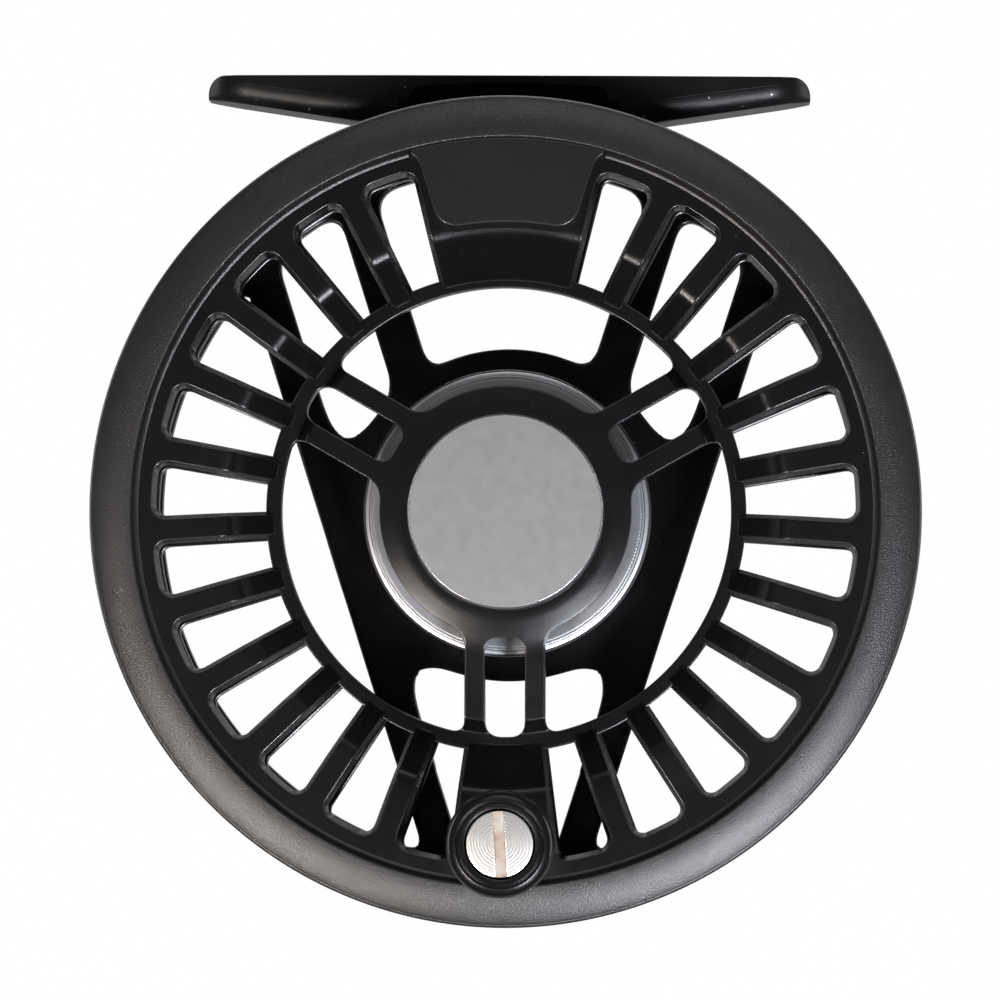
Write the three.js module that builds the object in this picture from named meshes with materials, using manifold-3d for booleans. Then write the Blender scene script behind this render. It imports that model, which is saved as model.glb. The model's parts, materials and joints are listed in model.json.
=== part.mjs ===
// Large-arbor fly reel with a sealed disc drag, in millimetres, +Z up.
//
// The origin is the middle of the flat floor of the reel foot, where the reel meets the rod.
// X runs along the rod, the handle side faces -Y and the drag knob faces +Y.
// Inside the reel group, x and z are measured from the spool axis and y is the depth behind
// the front face of the spool rim. Angles are in degrees, clockwise from the top seen from the handle side.

import * as THREE from 'three';
import { mergeVertices } from 'three/addons/utils/BufferGeometryUtils.js';
import Module from 'manifold-3d';

const wasm = await Module();
wasm.setup();

// ---- Driving dimensions ----
const AXIS_BELOW_SEAT = 49.8;
const RIM_FACE_Y = -15.5;
const CLEARANCE = 0.1;

const RIM_RADIUS = 47.5;
const RIM_INNER = 42.8;
const RIM_LIP_INNER = 46.5;
const RIM_BACK = 8;
const SPOKE_FRONT = 1.1;
const SPOKE_BACK = 3.8;
const KINK_RADIUS = 32;
const FLANGE_BACK = 22.8;
const REAR_FLANGE_FRONT = 20.6;
const REAR_FLANGE_RADIUS = 43.4;

const ARBOR_RADIUS = 27.6;
const ARBOR_INNER = 25.8;
const ARBOR_FRONT = 6;

const WINDOW_COUNT = 24;
const WINDOW_PITCH = 360 / 27;
const WINDOW_OUTER = 40.8;
const WINDOW_HALF_OUTER = 4.6;
const WINDOW_HALF_INNER = 3.8;
const WINDOW_CORNER = 1.2;

const HUB_RADIUS = 14.4;
const HUB_FRONT = 1.8;
const HUB_BACK = 10.6;
const CAP_RADIUS = 11.2;
const CAP_FRONT = 1.4;
const STRUT_WIDTH = 2.4;
const STRUT_OFFSET = 3.4;
const STRUT_ANGLES = [60, 180, 300];

const HANDLE_RADIUS = 37.5;
const HANDLE_TIP = -20;
const HANDLE_FOOT = -0.3;
const HANDLE_SCREW_RADIUS = 2;

const PAD_INNER = 33;
const PAD_OUTER = 42.5;
const PAD_HALF_OUTER = 14.2;
const PAD_HALF_INNER = 13.4;

const PLATE_FRONT = 24;
const PLATE_BACK = 27;
const BOSS_BACK = 28.2;
const PLATE_DISC_RADIUS = 19.3;
const FRAME_RADIUS = 46.5;
const FRAME_INNER = 40.8;
const BAND_TILT = 17.6;
const BAND_OFFSET = 19.2;
const BAND_WIDTH = 4.2;
const ARM_OFFSET = 6.9;
const ARM_WIDTH = 4.5;
const CAGE_OUTER = 46.1;
const CAGE_INNER = 44;
const PILLAR_ANGLES = [46, 166, 194, 314];
const BRIDGE_HALF_WIDTH = 12.5;
const BRIDGE_TOP = 46.3;

const SPINDLE_RADIUS = 2.5;
const HOUSING_RADIUS = 16.6;
const HOUSING_INNER = 15;
const HOUSING_FRONT = 12.5;
const HOUSING_FLOOR = 21.9;
const HOUSING_BACK = 23.9;
const PUSH_PIN_CIRCLE = 6.5;
const PUSH_PIN_HOLE = 1.05;
const HOUSING_SCREW_CIRCLE = 13.7;
const ROTOR_RADIUS = 6.6;
const DISC_STACK_FRONT = 14.4;
const CARBON_THICKNESS = 0.8;
const STEEL_THICKNESS = 0.6;
const DISC_GAP = 0.1;
const CLICK_TEETH = 18;
const PAWL_PIVOT_RADIUS = 13.2;
const PAWL_ANGLE = 300;

const KNOB_RADIUS = 11.4;
const KNOB_FRONT = 28.6;
const KNOB_BACK = 36.5;
const KNOB_SCALLOPS = 12;
const DETENT_CIRCLE = 9.9;

const FOOT_HALF_LENGTH = 34.8;
const FOOT_HALF_WIDTH = 6.7;
const FOOT_EDGE_RISE = 0.8;
const FOOT_FLOOR_HALF = 2.6;
const FOOT_SCREW_X = 6.5;

// Sides of the rounds, by size.
const WIDE_ROUND = 48;
const ROUND = 36;
const SMALL_ROUND = 24;
const TINY_ROUND = 10;

// ---- Finishes ----
const BLACK = { color: 0x17161a, roughness: 0.38, metalness: 0.6 };
const SILVER = { color: 0xa6a7ab, roughness: 0.3, metalness: 0.9 };
const STEEL = { color: 0xc9c6c0, roughness: 0.28, metalness: 0.95 };
const CARBON = { color: 0x2b2b2d, roughness: 0.7, metalness: 0.0 };
const RUBBER = { color: 0x101010, roughness: 0.8, metalness: 0.0 };
const BRASS = { color: 0xb58b46, roughness: 0.35, metalness: 0.9 };

// ---- Points and outlines ----
const radians = THREE.MathUtils.degToRad;

// A point at a radius from the spool axis, clockwise from the top.
function polar(radius, degrees) {
  return new THREE.Vector2(radius * Math.sin(radians(degrees)), radius * Math.cos(radians(degrees)));
}

// A closed outline through corners [point, rounding]; a rounding of 0 leaves the corner sharp.
function outline(corners, Kind = THREE.Shape) {
  const shape = new Kind();
  corners.forEach(([point, rounding], i) => {
    const before = corners[(i + corners.length - 1) % corners.length][0];
    const after = corners[(i + 1) % corners.length][0];
    const start = before.clone().sub(point).setLength(rounding).add(point);
    const end = after.clone().sub(point).setLength(rounding).add(point);
    if (i === 0) shape.moveTo(start.x, start.y);
    else shape.lineTo(start.x, start.y);
    if (rounding > 0) shape.quadraticCurveTo(point.x, point.y, end.x, end.y);
  });
  shape.closePath();
  return shape;
}

// Points along an arc round the spool axis.
function arc(radius, from, to, steps) {
  return Array.from({ length: steps + 1 }, (_, i) => polar(radius, from + (to - from) * i / steps));
}

// A ring sector between two radii, with its own half angle at each.
function sector(middle, inner, outer, halfInner, halfOuter, steps, rounding) {
  const far = arc(outer, middle - halfOuter, middle + halfOuter, steps);
  const near = arc(inner, middle + halfInner, middle - halfInner, steps);
  const rounded = (points) => points.map((p, i) => [p, i === 0 || i === points.length - 1 ? rounding : 0]);
  return outline([...rounded(far), ...rounded(near)]);
}

function circle(x, y, radius, Kind = THREE.Path) {
  const path = new Kind();
  path.absarc(x, y, radius, 0, 2 * Math.PI, false);
  return path;
}

// ---- Solids ----
function signedVolume(positions, triangles) {
  const [a, b, c] = [new THREE.Vector3(), new THREE.Vector3(), new THREE.Vector3()];
  let volume = 0;
  for (let i = 0; i < triangles.length; i += 3) {
    a.fromArray(positions, 3 * triangles[i]);
    b.fromArray(positions, 3 * triangles[i + 1]);
    c.fromArray(positions, 3 * triangles[i + 2]);
    volume += a.dot(b.cross(c)) / 6;
  }
  return volume;
}

// A closed geometry as a manifold solid, with merged corners and its faces outwards.
function solid(geometry) {
  geometry.deleteAttribute('normal');
  geometry.deleteAttribute('uv');
  const merged = mergeVertices(geometry, 1e-4);
  const positions = merged.getAttribute('position').array;
  const index = merged.getIndex().array;
  const triangles = [];
  for (let i = 0; i < index.length; i += 3) {
    const [a, b, c] = index.slice(i, i + 3);
    if (a !== b && b !== c && c !== a) triangles.push(a, b, c);
  }
  if (signedVolume(positions, triangles) < 0) triangles.reverse();
  const mesh = new wasm.Mesh({
    numProp: 3,
    vertProperties: new Float32Array(positions),
    triVerts: new Uint32Array(triangles),
  });
  return new wasm.Manifold(mesh);
}

// A profile of [radius, depth] points turned round the spool axis.
function turned(profile, segments = ROUND) {
  const closed = profile[0][0] === 0 ? profile : [...profile, profile[0]];
  const points = closed.map(([radius, depth]) => new THREE.Vector2(radius, depth));
  return solid(new THREE.LatheGeometry(points, segments));
}

function tube(inner, outer, front, back, segments = ROUND) {
  return turned([[inner, front], [outer, front], [outer, back], [inner, back]], segments);
}

function seal(radius, depth, thickness, segments = SMALL_ROUND, sides = 6) {
  const profile = Array.from({ length: sides }, (_, i) => {
    const angle = 2 * Math.PI * i / sides;
    return [radius + thickness / 2 * Math.cos(angle), depth + thickness / 2 * Math.sin(angle)];
  });
  return turned(profile, segments);
}

// An outline drawn as seen from the handle side, cut out of a plate between two depths.
function plate(shape, front, back, curveSegments = 3) {
  const options = { depth: back - front, bevelEnabled: false, curveSegments };
  const geometry = new THREE.ExtrudeGeometry(shape, options);
  geometry.rotateX(Math.PI / 2);
  geometry.translate(0, back, 0);
  return solid(geometry);
}

// A round bar along the depth direction, centred on a point of the reel's face.
function bar(point, radius, front, back, segments = TINY_ROUND) {
  const geometry = new THREE.CylinderGeometry(radius, radius, back - front, segments);
  geometry.translate(point.x, (front + back) / 2, point.y);
  return solid(geometry);
}

// A turned profile whose axis stands on a point of the reel's face.
function turnedAt(point, profile, segments) {
  return turned(profile, segments).translate([point.x, 0, point.y]);
}

function join(solids) {
  return solids.reduce((whole, piece) => whole.add(piece));
}

function cut(whole, pieces) {
  return pieces.reduce((rest, piece) => rest.subtract(piece), whole);
}

function around(count, make) {
  return Array.from({ length: count }, (_, i) => make(360 * i / count));
}

const root = new THREE.Group();
const reel = new THREE.Group();
reel.position.set(0, RIM_FACE_Y, -AXIS_BELOW_SEAT);
root.add(reel);

function add(group, name, body, finish) {
  const { vertProperties, triVerts } = body.getMesh();
  const geometry = new THREE.BufferGeometry();
  geometry.setAttribute('position', new THREE.BufferAttribute(vertProperties, 3));
  geometry.setIndex(new THREE.BufferAttribute(triVerts, 1));
  const mesh = new THREE.Mesh(geometry, new THREE.MeshStandardMaterial(finish));
  mesh.name = name;
  group.add(mesh);
}

// ---- Spool ----
// The handle takes one window place at the bottom and the counterweight takes two at the top.
function windowAngles() {
  const each = WINDOW_COUNT / 2;
  const places = Array.from({ length: WINDOW_COUNT }, (_, i) => (i < each ? i - each : i - each + 1));
  return places.map((place) => 180 + WINDOW_PITCH * place);
}

function windows(front, back) {
  const [inner, outer] = [ARBOR_RADIUS, WINDOW_OUTER];
  return windowAngles().map((angle) => {
    const shape = sector(angle, inner, outer, WINDOW_HALF_INNER, WINDOW_HALF_OUTER, 2, WINDOW_CORNER);
    return plate(shape, front, back, 1);
  });
}

const handlePoint = polar(HANDLE_RADIUS, 180);

function spoolFace() {
  const disc = turned([
    [ARBOR_RADIUS + CLEARANCE, ARBOR_FRONT + CLEARANCE],
    [KINK_RADIUS - 0.6, 1.5],
    [KINK_RADIUS + 0.6, SPOKE_FRONT],
    [RIM_INNER - 1.1, SPOKE_FRONT],
    [RIM_INNER, 0.15],
    [RIM_INNER + 0.4, 0],
    [RIM_RADIUS - 0.6, 0],
    [RIM_RADIUS, 0.7],
    [RIM_RADIUS, RIM_BACK],
    [RIM_LIP_INNER, RIM_BACK],
    [RIM_LIP_INNER, SPOKE_BACK + 0.4],
    [KINK_RADIUS + 1, SPOKE_BACK],
    [ARBOR_RADIUS + CLEARANCE, ARBOR_FRONT + 2.9],
  ], WIDE_ROUND);
  const boss = bar(handlePoint, 5.4, 0.2, SPOKE_BACK, SMALL_ROUND);
  const screwHole = bar(handlePoint, HANDLE_SCREW_RADIUS + 0.15, -1, SPOKE_BACK + 1);
  const slugPocket = plate(sector(0, 34.8, 40.7, 9.4, 9.4, 4, 0.6), 0, 3.1);
  const padSeat = plate(sector(0, 34, PAD_OUTER + 0.2, 14.5, 14.5, 4, 0), -1, SPOKE_FRONT);
  const ported = cut(disc, windows(-1, RIM_BACK + 2));
  return cut(ported.add(boss), [screwHole, slugPocket, padSeat]);
}

function rearFlange() {
  const disc = turned([
    [ARBOR_RADIUS + CLEARANCE, REAR_FLANGE_FRONT],
    [REAR_FLANGE_RADIUS, REAR_FLANGE_FRONT],
    [REAR_FLANGE_RADIUS, FLANGE_BACK - 0.4],
    [REAR_FLANGE_RADIUS - 0.4, FLANGE_BACK],
    [ARBOR_RADIUS + CLEARANCE, FLANGE_BACK],
  ], WIDE_ROUND);
  return cut(disc, windows(REAR_FLANGE_FRONT - 1, FLANGE_BACK + 1));
}

// One arm of the spider: its side view in radius and depth, given its width and turned into place.
function strut(angle, side) {
  const profile = [
    [12, 3], [HUB_RADIUS, 3.1], [21, 3.8], [ARBOR_INNER, 6.2],
    [ARBOR_INNER, 10], [21, 7.6], [HUB_RADIUS, 6.9], [12, 6.6],
  ];
  const shape = outline(profile.map(([radius, depth]) => [new THREE.Vector2(depth, radius), 0]));
  const geometry = new THREE.ExtrudeGeometry(shape, { depth: STRUT_WIDTH, bevelEnabled: false });
  const toDepth = new THREE.Matrix4().makeBasis(
    new THREE.Vector3(0, 1, 0), new THREE.Vector3(0, 0, 1), new THREE.Vector3(1, 0, 0));
  geometry.applyMatrix4(toDepth);
  geometry.translate(side * STRUT_OFFSET - STRUT_WIDTH / 2, 0, 0);
  geometry.rotateY(radians(angle));
  return solid(geometry);
}

function spoolHub() {
  const barrel = turned([
    [11.45, HUB_FRONT + 0.2],
    [11.8, HUB_FRONT],
    [HUB_RADIUS - 0.8, HUB_FRONT + 0.1],
    [HUB_RADIUS, HUB_FRONT + 0.8],
    [HUB_RADIUS, 6.4],
    [11, 7.4],
    [11, HUB_BACK],
    [8.85, HUB_BACK],
    [8.85, 6.5],
    [8.2, 6.5],
    [8.2, 3.8],
    [11.45, 3.8],
  ], ROUND);
  const clear = tube(0.5, 11.45, 0, 3.8, ROUND);
  const struts = STRUT_ANGLES.flatMap((angle) => [strut(angle, -1), strut(angle, 1)]);
  const insideArbor = tube(1, ARBOR_INNER - CLEARANCE, 0, HUB_BACK + 1, WIDE_ROUND);
  return join([barrel, ...struts]).subtract(clear).intersect(insideArbor);
}

add(reel, 'spool_face', spoolFace(), BLACK);
add(reel, 'spool_arbor', turned([
  [ARBOR_INNER, ARBOR_FRONT + 0.5],
  [ARBOR_INNER + 0.5, ARBOR_FRONT],
  [ARBOR_RADIUS, ARBOR_FRONT],
  [ARBOR_RADIUS, FLANGE_BACK],
  [ARBOR_INNER, FLANGE_BACK],
], WIDE_ROUND), BLACK);
add(reel, 'spool_rear_flange', rearFlange(), BLACK);
add(reel, 'spool_hub', spoolHub(), BLACK);
add(reel, 'roller_clutch', tube(6.75, 8.75, 6.8, 10.4), STEEL);

// Counterweight: a slug in a pocket of the face, under a flush cover pad.
add(reel, 'counterweight_slug', plate(sector(0, 35, 40.5, 9, 9, 4, 0.5), 1.3, 2.9), BRASS);
const padShape = sector(0, PAD_INNER, PAD_OUTER, PAD_HALF_INNER, PAD_HALF_OUTER, 6, 1.8);
add(reel, 'counterweight_pad', plate(padShape, 0, SPOKE_FRONT - CLEARANCE), BLACK);

// Release cap: it unscrews from the hub, with a seal round its skirt.
add(reel, 'spool_cap', turned([
  [0, CAP_FRONT],
  [CAP_RADIUS - 0.25, CAP_FRONT],
  [CAP_RADIUS, CAP_FRONT + 0.25],
  [CAP_RADIUS, 3.5],
  [7.9, 3.5],
  [7.9, 4.3],
  [7.3, 4.3],
  [7.3, 5.3],
  [7.9, 5.3],
  [7.9, 6],
  [6.6, 6],
  [6.6, 3],
  [0, 3],
], ROUND), SILVER);
add(reel, 'cap_seal', seal(7.72, 4.8, 0.74), RUBBER);

// ---- Handle ----
add(reel, 'handle_knob', turnedAt(handlePoint, [
  [3.2, HANDLE_FOOT],
  [4.3, HANDLE_FOOT],
  [4.8, -1.2],
  [3.9, -5],
  [4.1, -9],
  [5.1, -14],
  [6, -17.5],
  [6.1, -19],
  [5.4, HANDLE_TIP],
  [4.05, HANDLE_TIP],
  [4.05, -17],
  [3.2, -17],
], SMALL_ROUND), BLACK);
const sleeve = tube(HANDLE_SCREW_RADIUS + 0.15, 3, -16.9, -0.1, SMALL_ROUND);
add(reel, 'handle_sleeve', sleeve.translate([handlePoint.x, 0, handlePoint.y]), BRASS);
const screwSlot = plate(outline([
  [new THREE.Vector2(-0.5, -5), 0], [new THREE.Vector2(0.5, -5), 0],
  [new THREE.Vector2(0.5, 5), 0], [new THREE.Vector2(-0.5, 5), 0],
]), HANDLE_TIP - 1, HANDLE_TIP + 1.2).translate([handlePoint.x, 0, handlePoint.y]);
add(reel, 'handle_screw', turnedAt(handlePoint, [
  [0, -19.6],
  [3.5, -19.6],
  [3.75, -19.3],
  [3.75, -17.1],
  [HANDLE_SCREW_RADIUS, -17.1],
  [HANDLE_SCREW_RADIUS, SPOKE_BACK - 0.2],
  [0, SPOKE_BACK - 0.2],
], SMALL_ROUND).subtract(screwSlot), STEEL);
const washer = tube(3.2, 4.4, -0.2, 0.1, SMALL_ROUND);
add(reel, 'handle_washer', washer.translate([handlePoint.x, 0, handlePoint.y]), STEEL);

// ---- Frame ----
// A flat piece of the back plate through corners [along, across] of a line through the axis at the tilt.
function tilted(side, corners) {
  const along = polar(1, side * BAND_TILT);
  const across = new THREE.Vector2(side * along.y, -side * along.x);
  const placed = corners.map(([u, v]) => along.clone().multiplyScalar(u).addScaledVector(across, v));
  return plate(outline(placed.map((point) => [point, 0])), PLATE_FRONT, PLATE_BACK);
}

function band(side, offset, width, low, high) {
  const [near, far] = [offset - width / 2, offset + width / 2];
  return tilted(side, [[low, near], [low, far], [high, far], [high, near]]);
}

// The web that fills the narrow notch between a long band and the hub disc, above and below.
function web(side) {
  const edge = BAND_OFFSET - BAND_WIDTH / 2 + 0.3;
  const reach = 13.6;
  return tilted(side, [[-reach, 13.4], [-reach, edge], [reach, edge], [reach, 13.4]]);
}

function backPlate() {
  const bandReach = 38.6;
  const armReach = 42;
  const body = join([
    tube(FRAME_INNER, FRAME_RADIUS, PLATE_FRONT, PLATE_BACK, WIDE_ROUND),
    tube(4.2, PLATE_DISC_RADIUS, PLATE_FRONT, PLATE_BACK, ROUND),
    tube(8.6, 17.4, PLATE_FRONT, BOSS_BACK, ROUND),
    ...[-1, 1].map((side) => band(side, BAND_OFFSET, BAND_WIDTH, -bandReach, bandReach)),
    ...[-1, 1].map((side) => band(side, ARM_OFFSET, ARM_WIDTH, PLATE_DISC_RADIUS - 2, armReach)),
    ...[-1, 1].map(web),
  ]);
  const pinHoles = around(3, (angle) => (
    bar(polar(PUSH_PIN_CIRCLE, angle), PUSH_PIN_HOLE, PLATE_FRONT - 1, PLATE_BACK + 1)
  ));
  const screwHoles = around(3, (angle) => turnedAt(polar(HOUSING_SCREW_CIRCLE, angle + 60), [
    [0, PLATE_FRONT - 1],
    [1.3, PLATE_FRONT - 1],
    [1.3, 26.4],
    [2.05, 26.8],
    [2.05, BOSS_BACK + 1],
    [0, BOSS_BACK + 1],
  ], TINY_ROUND));
  const pocket = tube(0.5, 8.6, 25.4, BOSS_BACK + 1, ROUND);
  const detentHole = bar(polar(DETENT_CIRCLE, 90), 0.95, 25.2, BOSS_BACK + 1);
  return cut(body, [pocket, detentHole, ...pinHoles, ...screwHoles]);
}

add(reel, 'frame_back_plate', backPlate(), BLACK);
add(reel, 'frame_front_ring', tube(43.6, CAGE_OUTER, 5, RIM_BACK + 0.6, WIDE_ROUND), BLACK);
PILLAR_ANGLES.forEach((angle, i) => {
  const shape = sector(angle, CAGE_INNER, CAGE_OUTER, 5.5, 5.5, 3, 0.6);
  add(reel, `frame_pillar_${i + 1}`, plate(shape, RIM_BACK + 0.7, PLATE_FRONT - CLEARANCE), BLACK);
});

function footBridge() {
  const underHalf = 16.4;
  const under = arc(CAGE_INNER + 0.2, underHalf, -underHalf, 8).map((point) => [point, 0]);
  const block = plate(outline([
    [new THREE.Vector2(-BRIDGE_HALF_WIDTH, BRIDGE_TOP), 0.8],
    [new THREE.Vector2(BRIDGE_HALF_WIDTH, BRIDGE_TOP), 0.8],
    ...under,
  ]), RIM_BACK + 0.7, PLATE_FRONT - CLEARANCE);
  const holes = [-1, 1].map((side) => {
    const hole = new THREE.CylinderGeometry(1.6, 1.6, 8, TINY_ROUND);
    hole.rotateX(Math.PI / 2);
    hole.translate(side * FOOT_SCREW_X, -RIM_FACE_Y, BRIDGE_TOP);
    return solid(hole);
  });
  return cut(block, holes);
}
add(reel, 'frame_foot_bridge', footBridge(), BLACK);

// ---- Drag ----
add(reel, 'spindle', turned([
  [0, 3.9],
  [2.1, 3.9],
  [SPINDLE_RADIUS, 4.3],
  [SPINDLE_RADIUS, 21.7],
  [4, 21.7],
  [4, 25.2],
  [1.75, 25.2],
  [1.75, 19],
  [0, 19],
], SMALL_ROUND), STEEL);
const clipShape = sector(180, 2.65, 3.9, 155, 155, 20, 0);
add(reel, 'spindle_circlip', plate(clipShape, 6.5, 7), STEEL);
add(reel, 'front_bearing', tube(2.65, 4.9, 7.2, 9.2, SMALL_ROUND), STEEL);
add(reel, 'rear_bearing', tube(2.65, 4.9, 16, 18, SMALL_ROUND), STEEL);

function dragHousing() {
  const cup = turned([
    [4.2, HOUSING_FLOOR],
    [HOUSING_INNER, HOUSING_FLOOR],
    [HOUSING_INNER, HOUSING_FRONT],
    [HOUSING_RADIUS - 0.4, HOUSING_FRONT],
    [HOUSING_RADIUS, HOUSING_FRONT + 0.4],
    [HOUSING_RADIUS, HOUSING_BACK],
    [4.2, HOUSING_BACK],
  ], ROUND);
  const pinHoles = around(3, (angle) => bar(polar(PUSH_PIN_CIRCLE, angle), PUSH_PIN_HOLE, 21, 25));
  const screwHoles = around(3, (angle) => bar(polar(HOUSING_SCREW_CIRCLE, angle + 60), 1.25, 21, 25));
  return cut(cup, [...pinHoles, ...screwHoles]);
}
add(reel, 'drag_housing', dragHousing(), SILVER);
add(reel, 'drag_cover', turned([
  [9.4, 11],
  [15.5, 11],
  [15.9, 11.4],
  [15.9, HOUSING_FRONT - CLEARANCE],
  [14, HOUSING_FRONT - CLEARANCE],
  [14, 13.4],
  [12.9, 13.4],
  [12.9, HOUSING_FRONT - CLEARANCE],
  [9.4, HOUSING_FRONT - CLEARANCE],
], ROUND), SILVER);
add(reel, 'housing_seal', seal(14.5, 13, 0.8), RUBBER);
add(reel, 'rotor_seal', tube(6.75, 9.25, 11.2, 12.3, SMALL_ROUND), RUBBER);
around(3, (angle) => polar(HOUSING_SCREW_CIRCLE, angle + 60)).forEach((point, i) => {
  const screw = turnedAt(point, [
    [0, 22.1], [1.1, 22.1], [1.1, 26.3], [1.85, 26.9], [1.85, 27.9], [0, 27.9],
  ], TINY_ROUND);
  const socket = turnedAt(point, [[0, 27], [0.9, 27], [0.9, 29], [0, 29]], 6);
  add(reel, `housing_screw_${i + 1}`, screw.subtract(socket), STEEL);
});

add(reel, 'drag_rotor', tube(5.05, ROTOR_RADIUS, 6.8, 18.4, SMALL_ROUND), SILVER);
const clickTeeth = around(CLICK_TEETH, (angle) => [
  [polar(10.6, angle), 0],
  [polar(11.4, angle + 7), 0],
  [polar(11.4, angle + 10), 0],
  [polar(10.6, angle + 17), 0],
]).flat();
const clickShape = outline(clickTeeth);
clickShape.holes.push(circle(0, 0, ROTOR_RADIUS + 0.15));
add(reel, 'click_gear', plate(clickShape, 13.5, 14.2, 10), BRASS);

// Carbon discs turn with the rotor and steel discs stay with the housing, in turn down the stack.
let discFront = DISC_STACK_FRONT;
['carbon_disc_1', 'steel_disc_1', 'carbon_disc_2', 'steel_disc_2', 'carbon_disc_3'].forEach((name) => {
  const isCarbon = name.startsWith('carbon');
  const thickness = isCarbon ? CARBON_THICKNESS : STEEL_THICKNESS;
  const [inner, outer] = isCarbon ? [6.75, 13.6] : [7.6, 14.6];
  const disc = tube(inner, outer, discFront, discFront + thickness, SMALL_ROUND);
  add(reel, name, disc, isCarbon ? CARBON : STEEL);
  discFront += thickness + DISC_GAP;
});
add(reel, 'pressure_plate', tube(3, 14.6, 18.7, 19.7, SMALL_ROUND), STEEL);
const cone = (near, far) => (
  turned([[4.4, near], [9.5, far], [9.5, far + 0.4], [4.4, near + 0.4]], SMALL_ROUND)
);
add(reel, 'spring_washer_1', cone(20.4, 19.9), STEEL);
add(reel, 'spring_washer_2', cone(20.95, 21.4), STEEL);
add(reel, 'push_plate', join([
  tube(4.7, 8.2, 26.1, 26.9, SMALL_ROUND),
  ...around(3, (angle) => bar(polar(PUSH_PIN_CIRCLE, angle), PUSH_PIN_HOLE - 0.2, 22, 26.5)),
]), STEEL);

// Click pawl: a small lever on a pin in the cover, whose nose stands just clear of the gear's teeth.
const pivot = polar(PAWL_PIVOT_RADIUS, PAWL_ANGLE);
const pawlAside = polar(1, PAWL_ANGLE + 90);
const pawlCorner = (radius, aside) => polar(radius, PAWL_ANGLE).addScaledVector(pawlAside, aside);
const pawlShape = outline([
  [pawlCorner(14.2, -0.9), 0.4],
  [pawlCorner(14.2, 0.9), 0.4],
  [pawlCorner(12.7, 0.9), 0.3],
  [pawlCorner(11.6, 0.15), 0],
  [pawlCorner(11.6, -0.15), 0],
  [pawlCorner(12.7, -0.9), 0.3],
]);
pawlShape.holes.push(circle(pivot.x, pivot.y, 0.5));
add(reel, 'click_pawl', plate(pawlShape, 13.5, 14.2, 6), STEEL);
add(reel, 'click_pin', bar(pivot, 0.4, 13.45, 14.3), STEEL);
add(reel, 'click_spring', plate(sector(PAWL_ANGLE + 17, 14.25, 14.5, 9, 9, 5, 0), 13.5, 14.2), STEEL);

// ---- Drag knob ----
function dragKnob() {
  const body = turned([
    [1.9, 27.1],
    [8.1, 27.1],
    [8.1, KNOB_FRONT],
    [9, KNOB_FRONT],
    [9, KNOB_FRONT + 0.8],
    [10.8, KNOB_FRONT + 0.8],
    [10.8, KNOB_FRONT],
    [KNOB_RADIUS, KNOB_FRONT + 0.4],
    [KNOB_RADIUS, KNOB_BACK - 1],
    [KNOB_RADIUS - 1, KNOB_BACK],
    [4.1, KNOB_BACK],
    [4.1, 34.4],
    [1.9, 34.4],
  ], ROUND);
  const scallops = around(KNOB_SCALLOPS, (angle) => (
    bar(polar(KNOB_RADIUS + 1, angle), 1.7, KNOB_FRONT + 2, KNOB_BACK + 1)
  ));
  return cut(body, scallops);
}
add(reel, 'drag_knob', dragKnob(), BLACK);
const knobSocket = turned([[0, 35], [1.3, 35], [1.3, 37], [0, 37]], 6);
add(reel, 'knob_screw', turned([
  [0, 20], [1.6, 20], [1.6, 34.6], [3.8, 34.6], [3.8, 36], [3.5, 36.3], [0, 36.3],
], SMALL_ROUND).subtract(knobSocket), STEEL);
const detentPoint = polar(DETENT_CIRCLE, 90);
const ball = new THREE.SphereGeometry(0.75, TINY_ROUND, 6);
ball.translate(detentPoint.x, 28, detentPoint.y);
add(reel, 'detent_ball', solid(ball), STEEL);
const detentSpring = tube(0.4, 0.75, 25.4, 27.1, TINY_ROUND);
add(reel, 'detent_spring', detentSpring.translate([detentPoint.x, 0, detentPoint.y]), STEEL);

// ---- Reel foot ----
// The side view, the plan and the saddle section are each drawn once, and the foot is what they share.
const [tipTop, tipUnder] = [FOOT_EDGE_RISE, -2.2];
const bothEnds = (half) => [...half, ...half.map(([x, y, r]) => [-x, y, r]).reverse()];
const cornersOf = (points) => points.map(([x, y, rounding]) => [new THREE.Vector2(x, y), rounding]);

function footSide() {
  const shape = outline(cornersOf(bothEnds([
    [12.8, -3.4, 0],
    [12.8, -5.4, 0],
    [18.5, -4.6, 0],
    [FOOT_HALF_LENGTH, tipUnder, 0.6],
    [FOOT_HALF_LENGTH, tipTop, 1.4],
  ])));
  return plate(shape, -8, 8, 3);
}

function footPlan() {
  const shape = outline(cornersOf(bothEnds([
    [14, -FOOT_HALF_WIDTH, 0],
    [31, -4.9, 0],
    [FOOT_HALF_LENGTH, -3.6, 1.6],
    [FOOT_HALF_LENGTH, 3.6, 1.6],
    [31, 4.9, 0],
    [14, FOOT_HALF_WIDTH, 0],
  ])));
  const geometry = new THREE.ExtrudeGeometry(shape, { depth: 16, bevelEnabled: false, curveSegments: 3 });
  return solid(geometry.translate(0, 0, -8));
}

function footSection() {
  const edge = FOOT_HALF_WIDTH + CLEARANCE;
  const shape = outline(cornersOf(bothEnds([
    [edge, -7, 0],
    [edge, FOOT_EDGE_RISE, 0],
    [5.2, 0.4, 0],
    [4, 0.12, 0],
    [FOOT_FLOOR_HALF, 0, 0],
  ])));
  const length = 2 * FOOT_HALF_LENGTH + 2;
  const geometry = new THREE.ExtrudeGeometry(shape, { depth: length, bevelEnabled: false });
  const alongX = new THREE.Matrix4().makeBasis(
    new THREE.Vector3(0, 1, 0), new THREE.Vector3(0, 0, 1), new THREE.Vector3(1, 0, 0));
  geometry.applyMatrix4(alongX).translate(-length / 2, 0, 0);
  return solid(geometry);
}

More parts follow.
